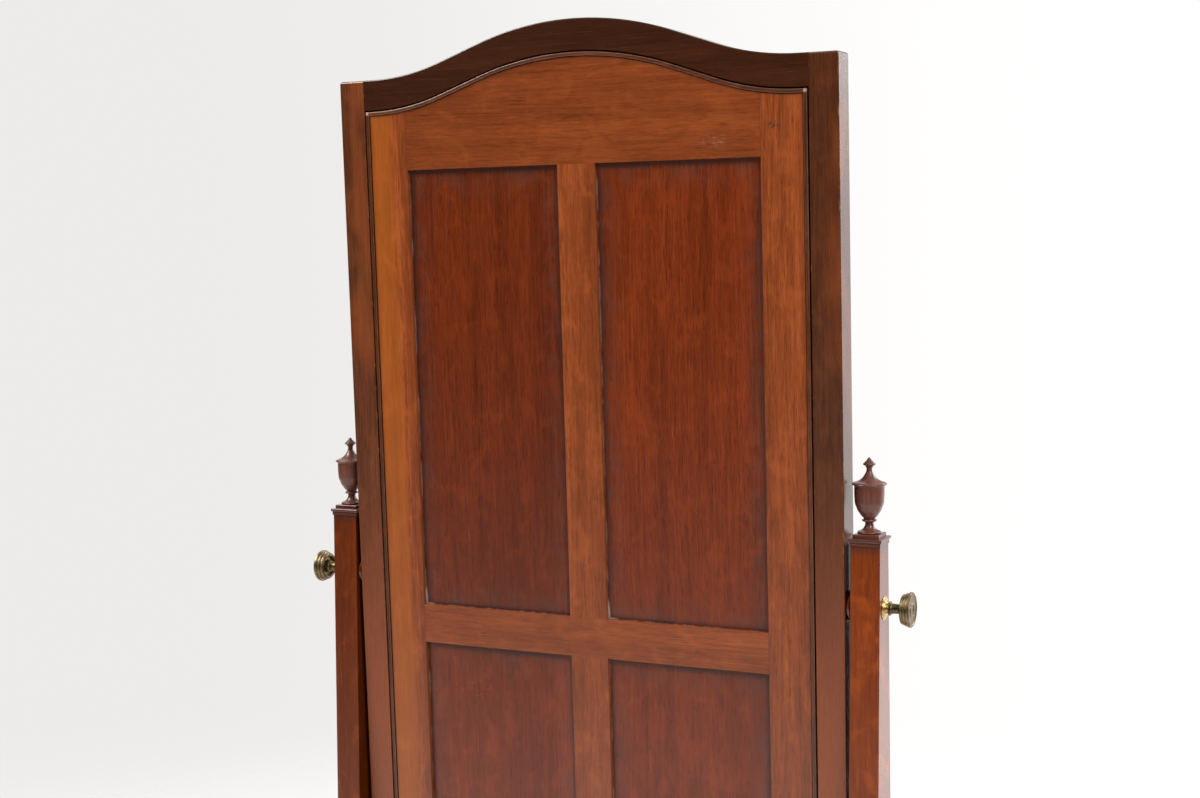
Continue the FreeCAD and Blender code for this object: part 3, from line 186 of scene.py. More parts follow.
class Nodes:
    """A node tree under construction: most methods add a node and hand back its output."""

    def __init__(self, tree):
        self.tree = tree
        tree.nodes.clear()

    def add(self, kind, inputs=(), result=0, **settings):
        node = self.tree.nodes.new(kind)
        for key, value in settings.items():
            setattr(node, key, value)
        for key, value in dict(inputs).items():
            if isinstance(value, bpy.types.NodeSocket):
                self.tree.links.new(value, node.inputs[key])
            elif value is not None:
                node.inputs[key].default_value = value
        return node.outputs[result] if node.outputs else None

    def axes(self, place):
        """The three coordinates of a place."""
        return self.add("ShaderNodeSeparateXYZ", {0: place}).node.outputs

    def math(self, operation, first, second=None, third=None):
        return self.add("ShaderNodeMath", {0: first, 1: second, 2: third}, operation=operation)

    def line(self, value, slope, start):
        """The start plus the value times the slope."""
        return self.math("MULTIPLY_ADD", value, slope, start)

    def times(self, *values):
        """The values' product."""
        return functools.reduce(functools.partial(self.math, "MULTIPLY"), values)

    def most(self, *values):
        """The largest of the values."""
        return functools.reduce(functools.partial(self.math, "MAXIMUM"), values)

    def stretch(self, vector, scale):
        return self.add("ShaderNodeVectorMath", {0: vector, 1: scale}, operation="MULTIPLY")

    def noise(self, vector, scale, detail=3.0, rough=0.55, twist=0.0):
        return self.add("ShaderNodeTexNoise", {"Vector": self.stretch(vector, scale), "Scale": 1.0,
                                               "Detail": detail, "Roughness": rough, "Distortion": twist})

    def spread(self, value, low, high, new_low=0.0, new_high=1.0):
        """Map a value smoothly from one range to another."""
        return self.add("ShaderNodeMapRange", {0: value, 1: low, 2: high, 3: new_low, 4: new_high},
                        interpolation_type="SMOOTHSTEP")

    def near(self, value, edge, reach):
        """One where the value is at the edge, and nothing beyond reach of it."""
        away = self.math("ABSOLUTE", self.math("SUBTRACT", value, edge))
        return self.spread(away, 0.0, reach, 1.0, 0.0)

    def spot(self, x, z, middle, reach):
        """One in the middle of a spot on the back, and nothing beyond its reach across or up."""
        return self.times(self.near(x, middle[0], reach[0]), self.near(z, middle[1], reach[1]))

    def ramp(self, value, stops):
        node = self.tree.nodes.new("ShaderNodeValToRGB")
        self.tree.links.new(value, node.inputs[0])
        elements = node.color_ramp.elements
        while len(elements) < len(stops):
            elements.new(0.5)
        for element, (place, colour) in zip(elements, stops):
            element.position = place
            element.color = (*colour, 1)
        return node.outputs[0]

    def blend(self, factor, first, second):
        node = self.tree.nodes.new("ShaderNodeMix")
        node.data_type = "RGBA"
        for socket, value in ((node.inputs[0], factor), (node.inputs[6], first), (node.inputs[7], second)):
            if isinstance(value, bpy.types.NodeSocket):
                self.tree.links.new(value, socket)
            elif isinstance(value, (int, float)):
                socket.default_value = value
            else:
                socket.default_value = (*value, 1)
        return node.outputs[2]


class Finish(Nodes):
    """A material under construction."""

    def __init__(self, name):
        self.material = bpy.data.materials.new(name)
        self.material.use_nodes = True
        super().__init__(self.material.node_tree)
        # The dull mask: where the polish is gone, and where an extra function also paints shade.
        self.dull = None
        self.shader = self.tree.nodes.new("ShaderNodeBsdfPrincipled")
        self.add("ShaderNodeOutputMaterial", {"Surface": self.shader.outputs[0]})

    def place(self):
        """Where a point of the piece is, in the piece's own space."""
        return self.add("ShaderNodeTexCoord", result="Object")

    def set(self, **inputs):
        for key, value in inputs.items():
            socket = self.shader.inputs[key.replace("_", " ")]
            if isinstance(value, bpy.types.NodeSocket):
                self.tree.links.new(value, socket)
            else:
                socket.default_value = value

    def bump(self, height, strength, distance):
        self.set(Normal=self.add("ShaderNodeBump", {"Height": height, "Strength": strength,
                                                    "Distance": distance}))


TURNS = {"Z": (0, 0, 0), "X": (0, math.pi / 2, 0), "Y": (math.pi / 2, 0, 0)}


def mahogany(name, colour, grain="Z", hangs=False, shift=0.0, contrast=1.0, figure=0.25, pores=1.0,
             gloss=0.23, coat=0.1, extra=None):
    """Polished mahogany. Its grain runs along one axis, of the hanging frame or of the stand.

    The extra function adds marks, and on some pieces painted shade and highlights. Where it sets
    the finish's dull mask, the polish is gone, and the extra function paints shade there too."""
    finish = Finish(name)
    place = finish.place()
    if hangs:
        centred = finish.add("ShaderNodeVectorMath", {0: place, 1: TILT["pos_m"]}, operation="SUBTRACT")
        place = finish.add("ShaderNodeMapping", {"Vector": centred, "Rotation": (sizes().lean, 0, 0)})
    along = finish.add("ShaderNodeMapping", {"Vector": place, "Rotation": TURNS[grain],
                                             "Location": (shift, shift * 1.7, shift * 0.6)})
    wave = finish.noise(along, SWELL, 2.0)
    warp = finish.add("ShaderNodeTexNoise", {"Vector": finish.stretch(along, WARP), "Scale": 1.0,
                                             "Detail": 1.0}, result="Color")
    along = finish.add("ShaderNodeVectorMath", {0: along, 1: finish.stretch(warp, WARP_REACH)},
                       operation="ADD")
    ribbon = finish.noise(along, RIBBON, 2.0, 0.5)
    streak = finish.noise(along, STREAK, 3.0, 0.65)
    hair = finish.noise(along, HAIR, 2.0, 0.65)
    vessel = finish.noise(along, VESSEL, 1.0, 0.5)
    mottle = finish.noise(along, MOTTLE, 2.0, 0.6, 0.6)

    tone = finish.line(hair, 0.3, finish.line(streak, 0.4, finish.times(ribbon, 0.3)))
    span = TONE_SPAN / contrast
    pale = tuple(part * share for part, share in zip(colour, PALE_STREAK))
    light = tuple(min(part * share, 1) for part, share in zip(colour, FLECK))
    shade = finish.ramp(finish.add("ShaderNodeMapRange", {0: tone, 1: 0.5 - span, 2: 0.5 + span}), [
        (0.0, toned(colour, 0.52)), (0.35, toned(colour, 0.84)), (0.62, toned(colour, 1.1)), (1.0, pale)])
    shade = finish.blend(finish.spread(wave, 0.35, 0.7, 0.0, 0.42), shade, toned(colour, 0.62))
    shade = finish.blend(finish.spread(mottle, 0.48, 0.72, 0.0, figure), shade, light)
    dark_lines = finish.spread(vessel, 0.57, 0.68, 0.0, 0.55 * pores)
    shade = finish.blend(dark_lines, shade, toned(colour, 0.28))
    rough = finish.line(streak, 0.16, gloss - 0.08)
    if extra:
        shade, rough = extra(finish, place, shade, rough)
    finish.set(Base_Color=shade, Roughness=rough, Coat_Weight=coat, Coat_Roughness=0.1, IOR=1.5,
               Specular_IOR_Level=SHEEN)
    if finish.dull:
        finish.set(Specular_IOR_Level=finish.spread(finish.dull, 0.0, 1.0, SHEEN, 0.03),
                   Coat_Weight=finish.spread(finish.dull, 0.0, 1.0, coat, 0.0))
    finish.bump(finish.line(dark_lines, -0.8, finish.times(hair, 0.35)), 0.22, 0.3 * MM)
    return finish.material


def edge_wear_and_gap_shade(finish, place, shade, rough):
    """Bare wood along the frame's edges, patches faded to the back's colour, and painted shade on the side
    face where the frame passes the uprights, where the polish is dulled too."""
    x, y, z = finish.axes(place)
    half = finish.math("ABSOLUTE", x)
    outer = finish.most(finish.near(half, FRAME_HALF, 2.2 * MM),
                        finish.near(half, FRAME_HALF - sizes().band, 1.5 * MM))
    spots = finish.spread(finish.noise(place, (110, 110, 45), 4.0, 0.7), 0.55, 0.66)
    worn = finish.times(outer, spots, finish.spread(y, 10 * MM, 16.5 * MM))
    shade = finish.blend(finish.times(worn, 0.75), shade, hue("bare_wood"))
    patch = finish.spread(finish.noise(place, (17, 17, 5), 2.0, 0.5), 0.56, 0.72, 0.0, 0.5)
    faded = finish.most(patch, finish.spread(z, -220 * MM, 200 * MM, 0.9, 0.0))
    shade = finish.blend(faded, shade, hue("back_wood", 0.95))
    # Painted shade: the frame's side face below the caps' top, beside the uprights, is darkened and its
    # polish dulled.
    cap = UPRIGHT_HIGH.z - PIVOT_HEIGHT
    finish.dull = finish.times(finish.near(half, FRAME_HALF, 1 * MM),
                               finish.spread(z, cap - 2 * MM, cap + 4 * MM, 0.93, 0.0))
    shade = finish.blend(finish.dull, shade, hue("frame_wood", 0.55))
    return shade, finish.line(worn, 0.2, finish.line(finish.dull, -0.22, rough))


def panel_dirt(low, high, scratched):
    """Old polish round a panel's edges, pale, dusty deposits in its corners, and where wanted a few
    scratches.
    """
    def dress(finish, place, shade, rough):
        x, _, z = finish.axes(place)
        cloud = finish.noise(place, (60, 60, 60), 3.0, 0.6)
        dusty = (high[0], low[1])

        def border(reach):
            return finish.most(finish.near(x, low[0], reach), finish.near(x, high[0], reach),
                               finish.near(z, low[1], reach), finish.near(z, high[1], reach * 1.3))

        haze = finish.times(border(34 * MM), finish.spread(cloud, 0.38, 0.68, 0.06, 0.3))
        shade = finish.blend(haze, shade, hue("dust", 0.16))
        rim = finish.times(border(7.5 * MM), finish.spread(cloud, 0.25, 0.75, 0.6, 1.0))
        shade = finish.blend(finish.times(rim, 0.8), shade, hue("grime", 0.45))
        thin = finish.most(finish.near(x, high[0], 2.2 * MM), finish.near(z, low[1], 1.3 * MM))
        patchy = finish.spread(finish.noise(place, (150, 150, 40), 3.0, 0.6), 0.42, 0.7, 0.0, 0.5)
        wedge = finish.most(finish.spot(x, z, dusty, (4.5 * MM, 36 * MM)),
                            finish.spot(x, z, dusty, (20 * MM, 3.6 * MM)))
        settled = finish.most(finish.times(thin, patchy), finish.spread(wedge, 0.12, 0.75, 0.0, 0.95))
        shade = finish.blend(settled, shade, hue("dust"))
        if scratched:
            slanted = finish.add("ShaderNodeMapping", {"Vector": place, "Rotation": (0, 0.9, 0)})
            scratch = finish.spread(finish.noise(slanted, (420, 420, 90), 2.0, 0.8), 0.62, 0.7)
            scratch = finish.times(scratch, finish.spot(x, z, *SCRATCHES), 0.6)
            shade = finish.blend(scratch, shade, hue("bare_wood"))
        return shade, finish.line(rim, 0.2, rough)
    return dress


def rail_ends(finish, place, shade, rough):
    """The hair-thin dark joint where a rail meets the stiles."""
    across = finish.math("ABSOLUTE", finish.axes(place)[0])
    joint = finish.near(across, sizes().panel_outer, 1.1 * MM)
    return finish.blend(finish.times(joint, 0.7), shade, hue("grime")), rough


def two_toned(finish, place, shade, rough):
    """A stile that is golden towards the bead and a deeper red towards the panels."""
    inner = sizes().panel_outer
    wander = finish.line(finish.noise(place, (6, 6, 3), 2.0), 12 * MM, finish.axes(place)[0])
    golden = finish.spread(wander, inner + 18 * MM, inner + 30 * MM, 0.0, 0.55)
    red = finish.spread(wander, inner + 8 * MM, inner + 20 * MM, 0.45, 0.0)
    shade = finish.blend(golden, shade, hue("gold_wood"))
    return finish.blend(red, shade, hue("back_wood", 0.62)), rough


def scuffed(finish, place, shade, rough):
    """The rail's joints, and a patch of pale scuffs near one end."""
    shade, rough = rail_ends(finish, place, shade, rough)
    x, _, z = finish.axes(place)
    marks = finish.spread(finish.noise(place, (200, 200, 900), 2.0, 0.7), 0.52, 0.68)
    return finish.blend(finish.times(marks, finish.spot(x, z, *SCUFFS), 0.22), shade, hue("dust")), rough


def bruised(finish, place, shade, rough):
    """A small filled bruise near the top of a stile."""
    x, _, z = finish.axes(place)
    uneven = finish.spread(finish.noise(place, (300, 300, 300), 3.0), 0.4, 0.6)
    return finish.blend(finish.times(finish.spot(x, z, *BRUISE), uneven, 1.4), shade, hue("grime")), rough


def upright_shade(finish, place, shade, rough):
    """An upright with painted shade under its cap, and painted shade with its polish dulled on the face
    beside the frame.
    """
    x, _, z = finish.axes(place)
    # Painted shade: the inner face beside the frame, in the gap, is darkened and its polish dulled.
    finish.dull = finish.near(finish.math("ABSOLUTE", x), UPRIGHT_LOW.x, 0.8 * MM)
    shade = finish.blend(finish.dull, shade, finish.blend(0.72, shade, hue("stand_wood", 0.18)))
    # Painted shade: darker towards the top, under the cap.
    under = finish.spread(z, UPRIGHT_HIGH.z - 14 * MM, UPRIGHT_HIGH.z, 0.0, 0.55)
    return finish.blend(under, shade, hue("grime", 0.6)), rough


def brass(name, polish, shift, edges=1.0):
    """Aged brass, dull in the hollows and rubbed bright on the edges."""
    finish = Finish(name)
    place = finish.add("ShaderNodeMapping", {"Vector": finish.place(), "Location": (shift, shift, shift)})
    cloud = finish.noise(place, (110, 110, 110), 3.0, 0.6)
    speck = finish.noise(place, (1100, 1100, 1100), 3.0, 0.7)
    hollow = finish.add("ShaderNodeNewGeometry", result="Pointiness")
    ridge = finish.spread(hollow, 0.5, 0.58, 0.0, -0.35 * edges)
    sunk = finish.spread(hollow, 0.42, 0.495, 0.5 * edges, 0.0)
    age = finish.math("ADD", finish.line(cloud, 0.4, 0.8 - polish), ridge)
    age = finish.add("ShaderNodeClamp", {0: finish.math("ADD", age, finish.line(speck, 0.06, sunk))})
    shade = finish.ramp(age, [(0.0, hue("brass_gold")), (0.3, hue("brass_light")),
                              (0.75, hue("brass_dark")), (1.0, hue("brass_dark", 0.5))])
    finish.set(Base_Color=shade, Roughness=finish.line(age, 0.18, 0.3), Metallic=1.0)
    finish.bump(speck, 0.05, 0.2 * MM)
    return finish.material


def turned(name, colour):
    """Dark turned wood, polished by hand, darker in its hollows and paler, in the bare wood's colour, on its
    sharp edges.
    """
    def dress(finish, place, shade, rough):
        hollow = finish.add("ShaderNodeNewGeometry", result="Pointiness")
        quirk = finish.spread(hollow, 0.42, 0.49, 0.75, 0.0)
        shade = finish.blend(quirk, shade, hue("grime", 0.5))
        edge = finish.spread(hollow, 0.55, 0.66, 0.0, 0.35)
        return finish.blend(edge, shade, hue("bare_wood")), rough
    return mahogany(name, colour, contrast=0.8, figure=0.12, pores=0.5, gloss=0.34, coat=0.12, extra=dress)


def plain_wood(name, colour, shift):
    """Unpolished wood of the hidden pieces."""
    return mahogany(name, colour, grain="X", shift=shift, contrast=0.7, figure=0.05, pores=0.4, gloss=0.6,
                    coat=0.0)


def looking_glass(name):
    """Old silvering: clean in the middle, a little foxed towards the edges."""
    finish = Finish(name)
    place = finish.place()
    x, _, z = finish.axes(place)
    low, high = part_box("mirror_glass")
    rim = finish.most(finish.near(finish.math("ABSOLUTE", x), high.x, 35 * MM),
                      finish.near(z, low.z, 50 * MM))
    spots = finish.spread(finish.noise(place, (160, 160, 160), 4.0, 0.7), 0.6, 0.72)
    foxed = finish.times(spots, rim)
    shade = finish.blend(finish.times(foxed, 0.6), hue("silver"), paint("4e4337"))
    finish.set(Base_Color=shade, Metallic=1.0, Roughness=finish.line(foxed, 0.3, 0.012))
    return finish.material


def steel(name):
    """Old screws, with a cloudy surface."""
    finish = Finish(name)
    cloud = finish.noise(finish.place(), (300, 300, 300), 4.0, 0.7)
    finish.set(Base_Color=finish.ramp(cloud, [(0.3, hue("steel", 0.45)), (0.7, hue("steel"))]),
               Roughness=finish.line(cloud, 0.4, 0.15), Metallic=1.0)
    return finish.material


def wear(material, *nodes):
    """Give CAD nodes a material."""
    for node in nodes:
        piece = frame["nodes"][node]
        piece.data.materials.clear()
        piece.data.materials.append(material)


# ---- meshes ----

def placed(name, data):
    """A new object in the scene."""
    item = bpy.data.objects.new(name, data)
    bpy.context.scene.collection.objects.link(item)
    return item


def meshed(name, shape):
    """The mesh of a shape that is done."""
    mesh = bpy.data.meshes.new(name)
    shape.to_mesh(mesh)
    shape.free()
    return mesh


def finished(name, body, material, mesh, stands_for=(), corner_angle=35.0):
    """A piece from its mesh, smooth but for its corners, riding on its body."""
    mesh.materials.clear()
    mesh.materials.append(material)
    mesh.shade_smooth()
    mesh.set_sharp_from_angle(angle=math.radians(corner_angle))
    piece = placed(name, mesh)
    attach(piece, body)
    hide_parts(*stands_for)
    return piece


def bowed(corners, steps):
    """Points along an outline. A corner is (x, y) or (x, y, bow): the way on from it bows to the
    left by that share of half its length."""
    points = []
    for corner, ahead in zip(corners, corners[1:] + corners[-1:]):
        start, end = Vector(corner[:2]), Vector(ahead[:2])
        points.append(start)
        bow = corner[2] if len(corner) > 2 else 0
        if not bow:
            continue
        half = (end - start).length / 2
        left = Vector((start.y - end.y, end.x - start.x)).normalized()
        radius = half * (1 + bow * bow) / (2 * abs(bow))
        centre = (start + end) / 2 + left * (half * bow - math.copysign(radius, bow))
        turn = 4 * math.atan(bow)
        for step in range(1, steps):
            angle = -turn * step / steps
            arm = start - centre
            points.append(centre + Vector((arm.x * math.cos(angle) - arm.y * math.sin(angle),
                                           arm.x * math.sin(angle) + arm.y * math.cos(angle))))
    return points


def softened(points, radius):
    """The same line with every sharp corner between its ends rounded a little."""
    result = []
    for index, point in enumerate(points):
        if index in (0, len(points) - 1):
            result.append(point)
            continue
        before, after = points[index - 1] - point, points[index + 1] - point
        if min(before.length, after.length) < TINY or before.angle(after) > math.radians(158):
            result.append(point)
            continue
        reach = min(radius, before.length * 0.45, after.length * 0.45)
        first, last = point + before.normalized() * reach, point + after.normalized() * reach
        for share in (0, 0.25, 0.5, 0.75, 1):
            result.append(first.lerp(point, share).lerp(point.lerp(last, share), share))
    return result


def lathe(points, place, around):
    """A closed turned mesh from points (radius, height) that run from axis to axis, or round a bore."""
    shape = bmesh.new()
    on_axis = points[0][0] < TINY
    rings = []
    for radius, height in points:
        if radius < TINY:
            rings.append([shape.verts.new((0, 0, height))])
            continue
        rings.append([shape.verts.new((radius * math.cos(2 * math.pi * step / around),
                                       radius * math.sin(2 * math.pi * step / around), height))
                      for step in range(around)])
    pairs = list(zip(rings, rings[1:])) + ([] if on_axis else [(rings[-1], rings[0])])
    for low, high in pairs:
        for step in range(around):
            ahead = (step + 1) % around
            corners = list(dict.fromkeys((low[step % len(low)], low[ahead % len(low)],
                                          high[ahead % len(high)], high[step % len(high)])))
            if len(corners) > 2:
                shape.faces.new(corners)
    bmesh.ops.recalc_face_normals(shape, faces=shape.faces)
    shape.transform(place)
    return meshed("turning", shape)


def turning(outline, place, fillet, steps=10, around=96):
    """A turned mesh from its half outline in millimetres, with its sharp corners filleted."""
    corners = [(radius * MM, height * MM, *bow) for radius, height, *bow in outline]
    path = [(point.x, point.y) for point in softened(bowed(corners, steps), fillet * MM)]
    return lathe(path, place, around)


def slab(points, low, high, to_space, rounding):
    """An outline given thickness, its edges rounded."""
    shape = bmesh.new()
    ground = [shape.verts.new((point.x, point.y, low)) for point in points]
    face = shape.faces.new(ground)
    grown = bmesh.ops.extrude_face_region(shape, geom=[face])
    bmesh.ops.translate(shape, vec=(0, 0, high - low),
                        verts=[item for item in grown["geom"] if isinstance(item, bmesh.types.BMVert)])
    bmesh.ops.recalc_face_normals(shape, faces=shape.faces)
    rims = [edge for edge in shape.edges if edge.calc_face_angle(0) > math.radians(50)]
    bmesh.ops.bevel(shape, geom=rims, offset=rounding, segments=3, profile=0.5, affect="EDGES",
                    clamp_overlap=True)
    bmesh.ops.triangulate(shape, faces=[face for face in shape.faces if len(face.verts) > 4])
    shape.transform(to_space)
    bmesh.ops.recalc_face_normals(shape, faces=shape.faces)
    return meshed("slab", shape)


def hanging():
    """From the frame's own space, measured from the pivot, to where it hangs."""
    return Matrix.Translation(TILT["pos_m"]) @ Matrix.Rotation(-sizes().lean, 4, "X")


# ---- the cock bead, swept by Geometry Nodes ----

def arch_line(half, drop):
    """Points along the arch from +half to -half, lowered by drop."""
    size = sizes()
    sine, cosine = math.sin(size.slope), math.cos(size.slope)
    crest_x = size.crest_radius * sine
    ogee_x = crest_x + size.crest_run * cosine
    flat_x = ogee_x + size.ogee_radius * sine
    flat_z = size.shoulder - drop
    ogee_z = flat_z + size.ogee_radius * (1 - cosine)
    crest_z = ogee_z + size.crest_run * sine
    bow = math.tan(size.slope / 4)
    crest_bow = math.tan(size.slope / 2)
    corners = [(half, flat_z), (flat_x, flat_z, bow), (ogee_x, ogee_z), (crest_x, crest_z, -crest_bow),
               (-crest_x, crest_z), (-ogee_x, ogee_z, bow), (-flat_x, flat_z), (-half, flat_z)]
    return bowed(corners, 28)


def bead_tree():
    """Sweep a rounded strip along the curve that comes in."""
    tree = bpy.data.node_groups.new("Cock bead", "GeometryNodeTree")
    tree.interface.new_socket("Path", in_out="INPUT", socket_type="NodeSocketGeometry")
    for name in ("Width", "Depth", "Arris"):
        tree.interface.new_socket(name, in_out="INPUT", socket_type="NodeSocketFloat")
    tree.interface.new_socket("Finish", in_out="INPUT", socket_type="NodeSocketMaterial")
    tree.interface.new_socket("Bead", in_out="OUTPUT", socket_type="NodeSocketGeometry")
    net = Nodes(tree)
    given = net.add("NodeGroupInput").node.outputs
    strip = net.add("GeometryNodeCurvePrimitiveQuadrilateral", {"Width": given["Width"],
                                                                "Height": given["Depth"]})
    rounded = net.add("GeometryNodeFilletCurve", {"Curve": strip, "Radius": given["Arris"], "Count": 5},
                      mode="POLY")
    upright = net.add("GeometryNodeSetCurveNormal", {"Curve": given["Path"]}, mode="Z_UP")
    strip = net.add("GeometryNodeCurveToMesh", {"Curve": upright, "Profile Curve": rounded,
                                                "Fill Caps": True})
    strip = net.add("GeometryNodeRealizeInstances", {0: strip})
    strip = net.add("GeometryNodeSetMaterial", {"Geometry": strip, "Material": given["Finish"]})
    net.add("NodeGroupOutput", {0: strip})
    return tree


def swept(tree, path, material):
    """The mesh of a bead along a path in the plane of the frame's back."""
    curve = bpy.data.curves.new("path", "CURVE")
    curve.dimensions = "3D"
    spline = curve.splines.new("POLY")
    spline.points.add(len(path) - 1)
    for point, spot in zip(spline.points, path):
        point.co = (spot.x, spot.y, 0, 1)
    rail = placed("path", curve)
    modifier = rail.modifiers.new("bead", "NODES")
    modifier.node_group = tree
    size = sizes()
    values = {"Width": size.bead_crown, "Depth": size.bead_deep, "Arris": size.bead_arris, "Finish": material}
    for item in tree.interface.items_tree:
        if item.name in values:
            modifier[item.identifier] = values[item.name]
    bpy.context.view_layer.update()
    graph = bpy.context.evaluated_depsgraph_get()
    mesh = bpy.data.meshes.new_from_object(rail.evaluated_get(graph))
    rail.modifiers.clear()
    bpy.data.objects.remove(rail)
    return mesh


def mitred(mesh, planes):
    """The mesh cut and closed at planes, each (point, normal), with what lies beyond them gone."""
    shape = bmesh.new()
    shape.from_mesh(mesh)
    bmesh.ops.remove_doubles(shape, verts=shape.verts, dist=TINY)
    for point, normal in planes:
        bmesh.ops.bisect_plane(shape, geom=[*shape.verts, *shape.edges, *shape.faces], plane_co=point,
                               plane_no=normal, clear_outer=True)
        rim = [edge for edge in shape.edges if edge.is_boundary]
        bmesh.ops.edgeloop_fill(shape, edges=rim)
    bmesh.ops.triangulate(shape, faces=[face for face in shape.faces if len(face.verts) > 4])
    bmesh.ops.recalc_face_normals(shape, faces=shape.faces)
    shape.to_mesh(mesh)
    shape.free()
    return mesh


class CHEVAL_OT_bead(bpy.types.Operator):
    """Sweep the mitred cock bead round the panelled back"""
    bl_idname = "cheval.bead"
    bl_label = "Cock bead"

    def execute(self, context):
        size = sizes()
        half = FRAME_HALF - size.band - size.quirk
        top = size.shoulder - size.rail_band - size.quirk
        foot = size.rail_band + size.quirk - size.drop
        inset, spare = size.bead / 2, size.bead
        tree = bead_tree()
        rise = size.half_depth + size.bead_proud - size.bead_deep / 2
        flat = hanging() @ Matrix.Translation((0, rise, 0)) @ Matrix.Rotation(math.pi / 2, 4, "X")
        corner = {1: Vector((half, top, 0)), -1: Vector((-half, top, 0))}
        base = {1: Vector((half, foot, 0)), -1: Vector((-half, foot, 0))}
        crest = arch_line(half + spare, size.rail_band + size.quirk + inset)
        bottom = [Vector((half + spare, foot + inset)), Vector((-half - spare, foot + inset))]
        runs = {
            "crest": (crest, [(corner[sign], (sign, -1, 0)) for sign in (1, -1)]),
            "foot": (bottom, [(base[sign], (sign, 1, 0)) for sign in (1, -1)]),
        }
        for hand, sign in HANDS:
            x = sign * (half - inset)
            runs[hand] = ([Vector((x, foot - spare)), Vector((x, top + spare))],
                          [(corner[sign], (-sign, 1, 0)), (base[sign], (-sign, -1, 0))])
        for run, (path, planes) in runs.items():
            material = mahogany(f"bead_{run}", hue("frame_wood", 1.15),
                                grain="Z" if run in ("left", "right") else "X", hangs=True,
                                shift=len(run) * 0.13, gloss=0.27, coat=0.05, extra=bead_wear_and_light)
            mesh = mitred(swept(tree, path, material), planes)
            mesh.transform(flat)
            finished(f"cock_bead_{run}", "mirror", material, mesh, [f"back_bead_{run}"])
        return {"FINISHED"}


def bead_wear_and_light(finish, place, shade, rough):
    """Painted highlights as pale lines on the bead's two arrises, painted shade down its sides, and bare wood
    at its mitres.
    """
    x, y, z = finish.axes(place)
    size = sizes()
    top = size.half_depth + size.bead_proud
    # Painted shade: the bead's sides darken down towards the quirk.
    sides = finish.spread(y, top - 2.6 * MM, top - 0.9 * MM, 0.95, 0.0)
    shade = finish.blend(sides, shade, hue("grime", 0.25))
    # Painted highlight: thin pale lines along the bead's arrises, in the dust colour.
    patchy = finish.spread(finish.noise(place, (70, 70, 14), 4.0, 0.7), 0.4, 0.66, 0.16, 0.6)
    rubbed = finish.times(finish.near(y, top - 0.34 * MM, 0.26 * MM), patchy)
    shade = finish.blend(rubbed, shade, hue("dust", 0.6))
    inset = size.quirk + size.bead / 2
    middle = (FRAME_HALF - size.band - inset, size.shoulder - size.rail_band - inset)
    corner = finish.spot(finish.math("ABSOLUTE", x), z, middle, (2.8 * MM, 2.8 * MM))
    return finish.blend(corner, shade, hue("dust")), rough


# ---- joinery that keeps its CAD shape ----

# Node, tone, grain, shift, contrast, figure, pores and marks of the back's framing.
BACK_FRAMING = (
    ("back_stile_left", 0.88, "Z", 2.1, 0.85, 0.3, 0.7, bruised),
    ("back_stile_right", 0.98, "Z", 2.57, 1.2, 0.4, 0.7, two_toned),
    ("back_top_rail", 0.77, "X", 3.03, 0.62, 0.2, 0.6, scuffed),
    ("back_middle_rail", 0.92, "X", 3.41, 0.75, 0.2, 0.6, rail_ends),
    ("back_foot_rail", 0.9, "X", 3.77, 0.9, 0.25, 0.7, rail_ends),
    ("back_muntin_upper", 1.0, "Z", 4.13, 0.9, 0.3, 0.7, None),
    ("back_muntin_lower", 0.95, "Z", 4.61, 0.9, 0.3, 0.7, None),
)


class CHEVAL_OT_frame(bpy.types.Operator):
    """Finish the outer frame, its glass and the pivot plates"""
    bl_idname = "cheval.frame"
    bl_label = "Outer frame"

    def execute(self, context):
        for hand, tone, shift, figure in (("left", 1.0, 0.31, 0.3), ("right", 1.12, 0.83, 0.4)):
            node = f"frame_stile_{hand}"
            wear(mahogany(node, hue("frame_wood", tone), "Z", True, shift, 0.95, figure, 0.6, 0.27, 0.15,
                          edge_wear_and_gap_shade), node)
        wear(mahogany("frame_crest", hue("frame_wood", 0.53), "X", True, 1.27, 0.6, 0.1, 0.35, 0.25, 0.12),
             "frame_crest_rail")
        wear(mahogany("frame_foot", hue("frame_wood", 0.8), "X", True, 1.71, 1.0, 0.1, 0.6, 0.34, 0.25),
             "frame_foot_rail")
        wear(looking_glass("silvered_plate"), "mirror_glass")
        wear(plain_wood("pine_blocks", hue("pine"), 0.2), "glass_blocks")
        wear(brass("plate_brass", 0.5, 0.4, 0.0), "pivot_plate_left", "pivot_plate_right")
        wear(steel("screw_steel"), "pivot_plate_screws", "clamp_screw_left", "clamp_screw_right")
        return {"FINISHED"}


class CHEVAL_OT_back(bpy.types.Operator):
    """Finish the panelled back"""
    bl_idname = "cheval.back"
    bl_label = "Panelled back"

    def execute(self, context):
        for node, tone, grain, shift, contrast, figure, pores, marks in BACK_FRAMING:
            wear(mahogany(node, hue("back_wood", tone), grain, True, shift, contrast, figure, pores,
                          extra=marks), node)
        size = sizes()
        inner = size.muntin / 2
        middle = size.panel_top - size.panel_tall
        rows = (("upper", middle, size.panel_top),
                ("lower", middle - size.muntin - size.panel_tall, middle - size.muntin))
        for row, low, high in rows:
            for hand, sign in HANDS:
                left, right = sorted((sign * inner, sign * size.panel_outer))
                tone = {"upper_right": 0.92, "upper_left": 1.12}.get(f"{row}_{hand}", 1.16)
                dirt = panel_dirt((left, low), (right, high), (row, hand) == ("lower", "right"))
                wear(mahogany(f"panel_{row}_{hand}", hue("panel_wood", tone), "Z", True,
                              5.3 + len(row + hand) * 0.37, 0.72, 0.3, 0.8, 0.24, 0.08, dirt),
                     f"back_panel_{row}_{hand}")
        return {"FINISHED"}


# ---- stand ----

